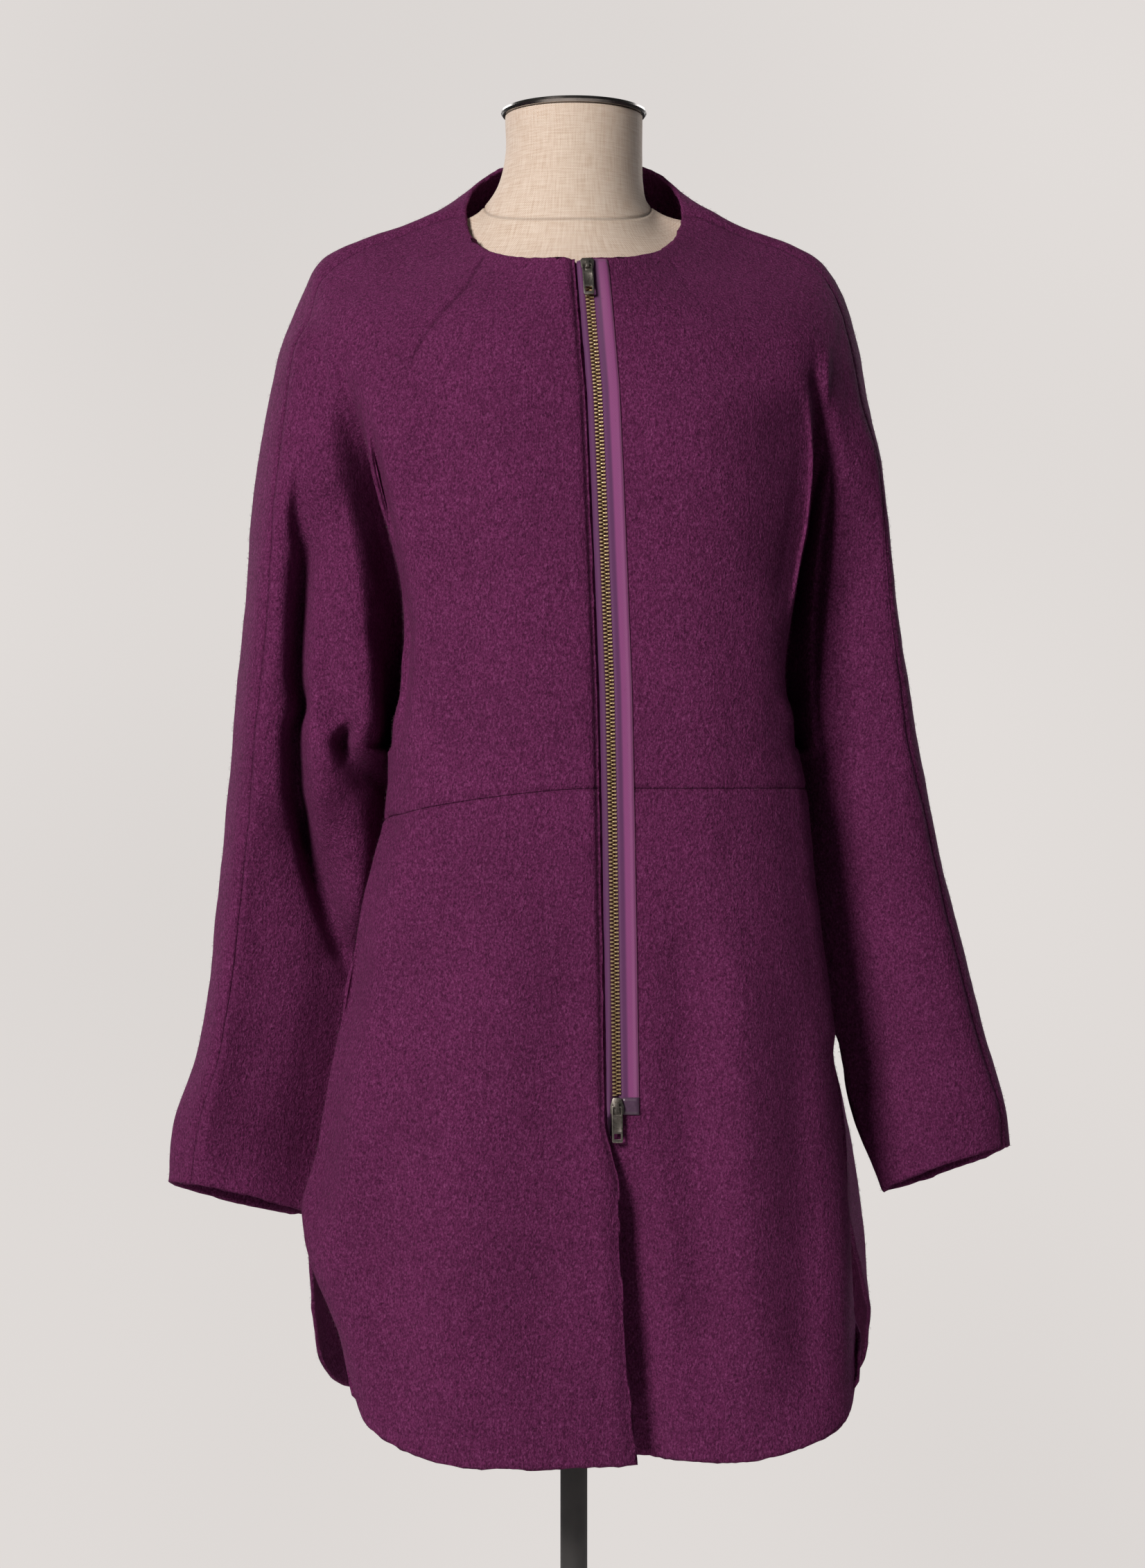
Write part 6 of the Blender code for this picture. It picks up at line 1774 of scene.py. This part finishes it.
def add_form():
    """Linen-covered torso with a neck and one seam round the neck base, darkened along it by painted shade.
    """
    rings = np.array([form_ring(row) for row in TORSO])
    for ring, spread_by, row in zip(rings, NECK_SPREAD, TORSO):
        ring[:, 0] -= spread_by * np.clip(-ring[:, 0] / row.half_width, 0.0, 1.0) ** NECK_SPREAD_POWER
    places = np.array(spread(FORM_STEPS))
    columns = smooth_curves(rings.transpose(1, 0, 2), places)
    grid = columns.transpose(1, 0, 2)
    down = np.gradient(grid, axis=0)
    round_about = np.roll(grid, -1, axis=1) - np.roll(grid, 1, axis=1)
    out = np.cross(round_about, down)
    out = out / (np.linalg.norm(out, axis=2)[:, :, None] + 1e-12)
    out = out * np.sign((out[:, :, :2] * grid[:, :, :2]).sum(axis=2))[:, :, None]
    gap = np.linalg.norm(grid - columns_at(rings, NECK_SEAM_ROW), axis=2)
    groove = np.exp(-(gap / NECK_SEAM_HALF) ** 2)
    grid = grid - out * (NECK_SEAM_DEPTH * groove)[:, :, None]
    levels = len(grid)
    numbers = np.arange(levels * FORM_ROUND).reshape(levels, FORM_ROUND)
    beside = np.roll(numbers, -1, axis=1)
    quads = np.stack((numbers[:-1], numbers[1:], beside[1:], beside[:-1]), axis=2).reshape(-1, 4)
    faces = quads.tolist()
    faces.append(tuple(numbers[0].tolist()))
    faces.append(tuple(reversed(numbers[-1].tolist())))
    item = add_piece("form_torso_linen", grid.reshape(-1, 3), faces, material_for("linen"))
    # Painted shade in the neck seam's groove, for the linen to read
    store_painted_seam_shade(item, PAINTED_NECK_SEAM_SHADE * groove)
    set_outward(item)
    steps = np.linalg.norm(np.diff(grid, axis=0), axis=2)
    fall = np.concatenate((np.zeros((1, FORM_ROUND)), np.cumsum(steps, axis=0)))
    angle = 2.0 * math.pi * np.arange(FORM_ROUND) / FORM_ROUND
    angle = np.where(angle > math.pi, angle - 2.0 * math.pi, angle)
    flat = np.stack((np.broadcast_to(angle * COVER_RADIUS, fall.shape), fall), axis=2)
    add_uv(item, "cloth", flat.reshape(-1, 2))
    item.data.set_sharp_from_angle(angle=math.radians(SHARP_ANGLES["form"]))
    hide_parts("form_torso")


def columns_at(rings, place):
    """Ring of the dress form at a place between its rows."""
    return smooth_curves(rings.transpose(1, 0, 2), [place])[:, 0]


def lathe(profile, steps, lift):
    """Points and faces of a turned solid from a profile that starts and ends on the axis."""
    rim = profile[1:-1]
    turn = 2.0 * math.pi * np.arange(steps) / steps
    rings = []
    for radius, z in rim:
        across = (radius * np.cos(turn), radius * np.sin(turn))
        rings.append(np.stack((*across, np.full(steps, z + lift)), axis=1))
    ends = np.array(((0.0, 0.0, profile[0][1] + lift), (0.0, 0.0, profile[-1][1] + lift)))
    points = np.vstack(rings + [ends])
    bottom, top = len(points) - 2, len(points) - 1
    last = (len(rim) - 1) * steps
    faces = []
    for step in range(steps):
        after = (step + 1) % steps
        faces.append((bottom, after, step))
        faces.append((last + step, last + after, top))
        for low in range(0, last, steps):
            faces.append((low + step, low + after, low + steps + after, low + steps + step))
    return points, faces


def add_turned(name, profile, lift, kind):
    """One turned piece of the stand in its own finish."""
    points, faces = lathe(profile, TURN_STEPS, lift)
    item = add_piece(name + "_turned", points, faces, material_for(kind))
    item.data.set_sharp_from_angle(angle=math.radians(SHARP_ANGLES["turned"]))
    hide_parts(name)


def add_stand():
    """Flanged chrome cap on the neck, and the painted pole and base plate."""
    add_turned("neck_cap", CAP_PROFILE, TORSO[0].side_z + REST_GAP, "dark_chrome")
    add_turned("base", BASE_PROFILE, 0.0, "black_paint")
    low = BASE_PROFILE[-1][1] + REST_GAP
    high = TORSO[-1].side_z - REST_GAP
    narrow = POLE_RADIUS - POLE_CHAMFER
    rod = ((0.0, low), (narrow, low), (POLE_RADIUS, low + POLE_CHAMFER),
           (POLE_RADIUS, high - POLE_CHAMFER), (narrow, high), (0.0, high))
    add_turned("pole", rod, 0.0, "black_paint")


def add_light(name, place, aim, power, size, colour):
    """One soft square light aimed at a point."""
    data = bpy.data.lights.new(name, "AREA")
    data.energy = power
    data.size = size
    data.color = colour
    item = bpy.data.objects.new(name, data)
    item.location = place
    item.rotation_euler = (Vector(aim) - Vector(place)).to_track_quat("-Z", "Y").to_euler()
    bpy.context.scene.collection.objects.link(item)


def studio_air(colours):
    """Dim air that hardly lights the coat, in front of a pale backdrop that only the eye sees."""
    world = bpy.data.worlds.new("studio_air")
    world.use_nodes = True
    tree = world.node_tree
    air = tree.nodes["Background"]
    set_inputs(tree, air, {"Color": (1.0, 1.0, 1.0, 1.0), "Strength": AIR_STRENGTH})
    way = add_node(tree, "TexCoord").outputs["Generated"]
    cloud = add_node(tree, "TexNoise", {"Vector": way, "Scale": 3.0, "Detail": 1.0})
    tone = add_node(tree, "MapRange", {
        "Value": cloud, "From Min": 0.3, "From Max": 0.7, "To Min": 0.93, "To Max": 1.05})
    backdrop = add_node(tree, "Background", {"Strength": tone, "Color": opaque(colours.backdrop)})
    seen = add_node(tree, "LightPath").outputs["Is Camera Ray"]
    mixed = add_node(tree, "MixShader", {0: seen, 1: air, 2: backdrop})
    set_inputs(tree, tree.nodes["World Output"], {"Surface": mixed})
    return world


def add_stage():
    """Pale floor and backdrop, soft lights in front and behind, and the camera of the photograph."""
    scene = bpy.context.scene
    turn = 2.0 * math.pi * np.arange(TURN_STEPS) / TURN_STEPS
    rim = np.stack((np.cos(turn), np.sin(turn), 0.0 * turn), axis=1) * FLOOR_RADIUS
    points = rim - np.array((0.0, 0.0, FLOOR_DROP))
    floor = add_piece("studio_floor", points, [tuple(range(TURN_STEPS))], material_for("paper"), body=None)
    colours = scene.coat_colours
    add_light("key_light", KEY_PLACE, LIGHT_AIM, KEY_POWER, KEY_SIZE, colours.key_light)
    add_light("fill_light", FILL_PLACE, LIGHT_AIM, FILL_POWER, FILL_SIZE, colours.fill_light)
    for place in BACK_PLACES:
        add_light("back_light", place, LIGHT_AIM, BACK_POWER, BACK_SIZE, colours.fill_light)
    scene.world = studio_air(colours)
    scene.view_settings.view_transform = "Standard"
    lens = bpy.data.cameras.new("photo_camera")
    lens.lens = CAMERA_LENS
    lens.sensor_width = CAMERA_SENSOR
    lens.clip_end = CAMERA_SIGHT
    camera = bpy.data.objects.new("photo_camera", lens)
    camera.location = CAMERA_PLACE
    camera.rotation_euler = (0.5 * math.pi, 0.0, 0.0)
    scene.collection.objects.link(camera)
    scene.camera = camera


def colour_setting(name, description, code):
    """A colour setting with an sRGB default."""
    return bpy.props.FloatVectorProperty(
        name=name,
        description=description,
        default=linear(code),
        size=3,
        min=0.0,
        max=1.0,
        subtype="COLOR",
    )


def length_setting(name, description, default):
    """A length setting in metres."""
    return bpy.props.FloatProperty(
        name=name,
        description=description,
        default=default,
        min=0.0,
        precision=5,
        subtype="DISTANCE",
        unit="LENGTH",
    )


class CoatSizes(bpy.types.PropertyGroup):
    """Sizes of the cloth, its hairs and the zip."""

    cloth: length_setting("Cloth", "Thickness of the boiled wool", CLOTH)
    curl: length_setting("Curl", "Width of one felted curl", CURL_WIDE)
    fibre_short: length_setting("Shortest hair", "Shortest loose hair", FIBRE_LONG[0])
    fibre_long: length_setting("Longest hair", "Longest loose hair", FIBRE_LONG[1])
    fibre_half: length_setting("Hair radius", "Half the width of a loose hair", FIBRE_HALF)
    fibre_count: bpy.props.IntProperty(
        name="Hairs", description="Number of loose hairs on the whole coat", default=FIBRE_COUNT, min=1
    )
    tooth_pitch: length_setting("Tooth pitch", "Distance between teeth on one side", TOOTH_PITCH)


class CoatColours(bpy.types.PropertyGroup):
    """Colours of all materials and lights."""

    # Wool dark and wool light: partly the felt's own fibres, partly painted shade deep between the curls and
    # painted light on their tips
    wool_dark: colour_setting("Wool dark", "Deep between the curls", "#481a3c")
    wool_main: colour_setting("Wool", "Main colour of the felt", "#6a2a59")
    wool_light: colour_setting("Wool light", "Tips of the curls", "#874577")
    # Loose hair: painted light on the hairs that catch it
    wool_fibre: colour_setting("Loose hair", "Hairs that catch the light", "#7d4069")
    tape_lilac: colour_setting("Tape lilac", "Bright band of the zip tape", "#a05494")
    tape_purple: colour_setting("Tape purple", "Dark band next to the teeth", "#6e3c70")
    tape_edge: colour_setting("Tape edge", "Bright outer edge of the tape", "#b0689f")
    film_grey: colour_setting("Tape film", "Sealed end of the tape", "#5d4460")
    brass_bright: colour_setting("Brass", "Bright patches of the teeth", "#e6d2aa")
    brass_dark: colour_setting("Brass patina", "Dull patches of the teeth", "#94815c")
    gunmetal: colour_setting("Gunmetal", "Plated slider", "#b6b1ab")
    gunmetal_dark: colour_setting("Gunmetal dark", "Darker patches of the plating", "#65615c")
    linen_light: colour_setting("Linen light", "Raised threads", "#f3e6da")
    linen_dark: colour_setting("Linen dark", "Between the threads", "#cbb09a")
    chrome: colour_setting("Chrome", "Polished cap", "#a9a4a1")
    chrome_dark: colour_setting("Chrome dark", "Cloudy patches of the cap", "#7d7875")
    paint_black: colour_setting("Paint", "Powder coat of the stand", "#464649")
    paint_worn: colour_setting("Dusty paint", "Greyer patches of the stand", "#5e5d5e")
    paper: colour_setting("Paper", "Floor", "#e9e5e2")
    backdrop: colour_setting("Backdrop", "Pale colour behind the coat", "#e1dcd9")
    key_light: colour_setting("Key light", "Main light", "#fff6ee")
    fill_light: colour_setting("Fill light", "Light from the other side and from behind", "#ffffff")


class COAT_OT_cloth(bpy.types.Operator):
    """Makes the six cloth panels"""

    bl_idname = "coat.cloth"
    bl_label = "Cloth panels"

    def execute(self, context):
        add_cloth()
        return {"FINISHED"}


class COAT_OT_fibres(bpy.types.Operator):
    """Makes the nap and the loose hairs on the wool"""

    bl_idname = "coat.fibres"
    bl_label = "Nap and loose hairs"

    def execute(self, context):
        add_nap()
        add_fibres()
        return {"FINISHED"}


class COAT_OT_facings(bpy.types.Operator):
    """Adds the wool facings behind the pocket slits"""

    bl_idname = "coat.facings"
    bl_label = "Pocket facings"

    def execute(self, context):
        add_facings()
        return {"FINISHED"}


class COAT_OT_tapes(bpy.types.Operator):
    """Makes both zip tapes and the sealed end"""

    bl_idname = "coat.tapes"
    bl_label = "Zip tapes"

    def execute(self, context):
        add_tapes()
        return {"FINISHED"}


class COAT_OT_teeth(bpy.types.Operator):
    """Makes the zip teeth"""

    bl_idname = "coat.teeth"
    bl_label = "Zip teeth"

    def execute(self, context):
        add_teeth()
        return {"FINISHED"}


class COAT_OT_sliders(bpy.types.Operator):
    """Makes the sliders and their pull tabs"""

    bl_idname = "coat.sliders"
    bl_label = "Sliders and pull tabs"

    def execute(self, context):
        add_sliders()
        return {"FINISHED"}


class COAT_OT_form(bpy.types.Operator):
    """Makes the linen dress form"""

    bl_idname = "coat.form"
    bl_label = "Dress form"

    def execute(self, context):
        add_form()
        return {"FINISHED"}


class COAT_OT_stand(bpy.types.Operator):
    """Makes the neck cap, pole and base"""

    bl_idname = "coat.stand"
    bl_label = "Cap, pole and base"

    def execute(self, context):
        add_stand()
        return {"FINISHED"}


class COAT_OT_stage(bpy.types.Operator):
    """Makes the floor, backdrop, lights and camera"""

    bl_idname = "coat.stage"
    bl_label = "Stage"

    def execute(self, context):
        add_stage()
        return {"FINISHED"}


OPERATORS = (
    COAT_OT_cloth,
    COAT_OT_fibres,
    COAT_OT_facings,
    COAT_OT_tapes,
    COAT_OT_teeth,
    COAT_OT_sliders,
    COAT_OT_form,
    COAT_OT_stand,
    COAT_OT_stage,
)


class COAT_PT_panel(bpy.types.Panel):
    """Lists the pieces of the coat in the sidebar"""

    bl_idname = "COAT_PT_panel"
    bl_label = "Coat on a dress form"
    bl_space_type = "VIEW_3D"
    bl_region_type = "UI"
    bl_category = "Coat"

    def draw(self, context):
        for operator in OPERATORS:
            self.layout.operator(operator.bl_idname)
        for settings in (context.scene.coat_sizes, context.scene.coat_colours):
            for name in settings.bl_rna.properties.keys():
                if name not in ("rna_type", "name"):
                    self.layout.prop(settings, name)


CLASSES = (CoatSizes, CoatColours) + OPERATORS + (COAT_PT_panel,)


def register():
    """Adds the settings, operators and panel to the program."""
    for item in CLASSES:
        bpy.utils.register_class(item)
    bpy.types.Scene.coat_sizes = bpy.props.PointerProperty(type=CoatSizes)
    bpy.types.Scene.coat_colours = bpy.props.PointerProperty(type=CoatColours)


def unregister():
    """Takes them out again."""
    del bpy.types.Scene.coat_colours
    del bpy.types.Scene.coat_sizes
    for item in reversed(CLASSES):
        bpy.utils.unregister_class(item)


def main():
    """Builds everything in order."""
    register()
    bpy.ops.coat.cloth()
    bpy.ops.coat.fibres()
    bpy.ops.coat.facings()
    bpy.ops.coat.tapes()
    bpy.ops.coat.teeth()
    bpy.ops.coat.sliders()
    bpy.ops.coat.form()
    bpy.ops.coat.stand()
    bpy.ops.coat.stage()


if __name__ == "__main__":
    main()
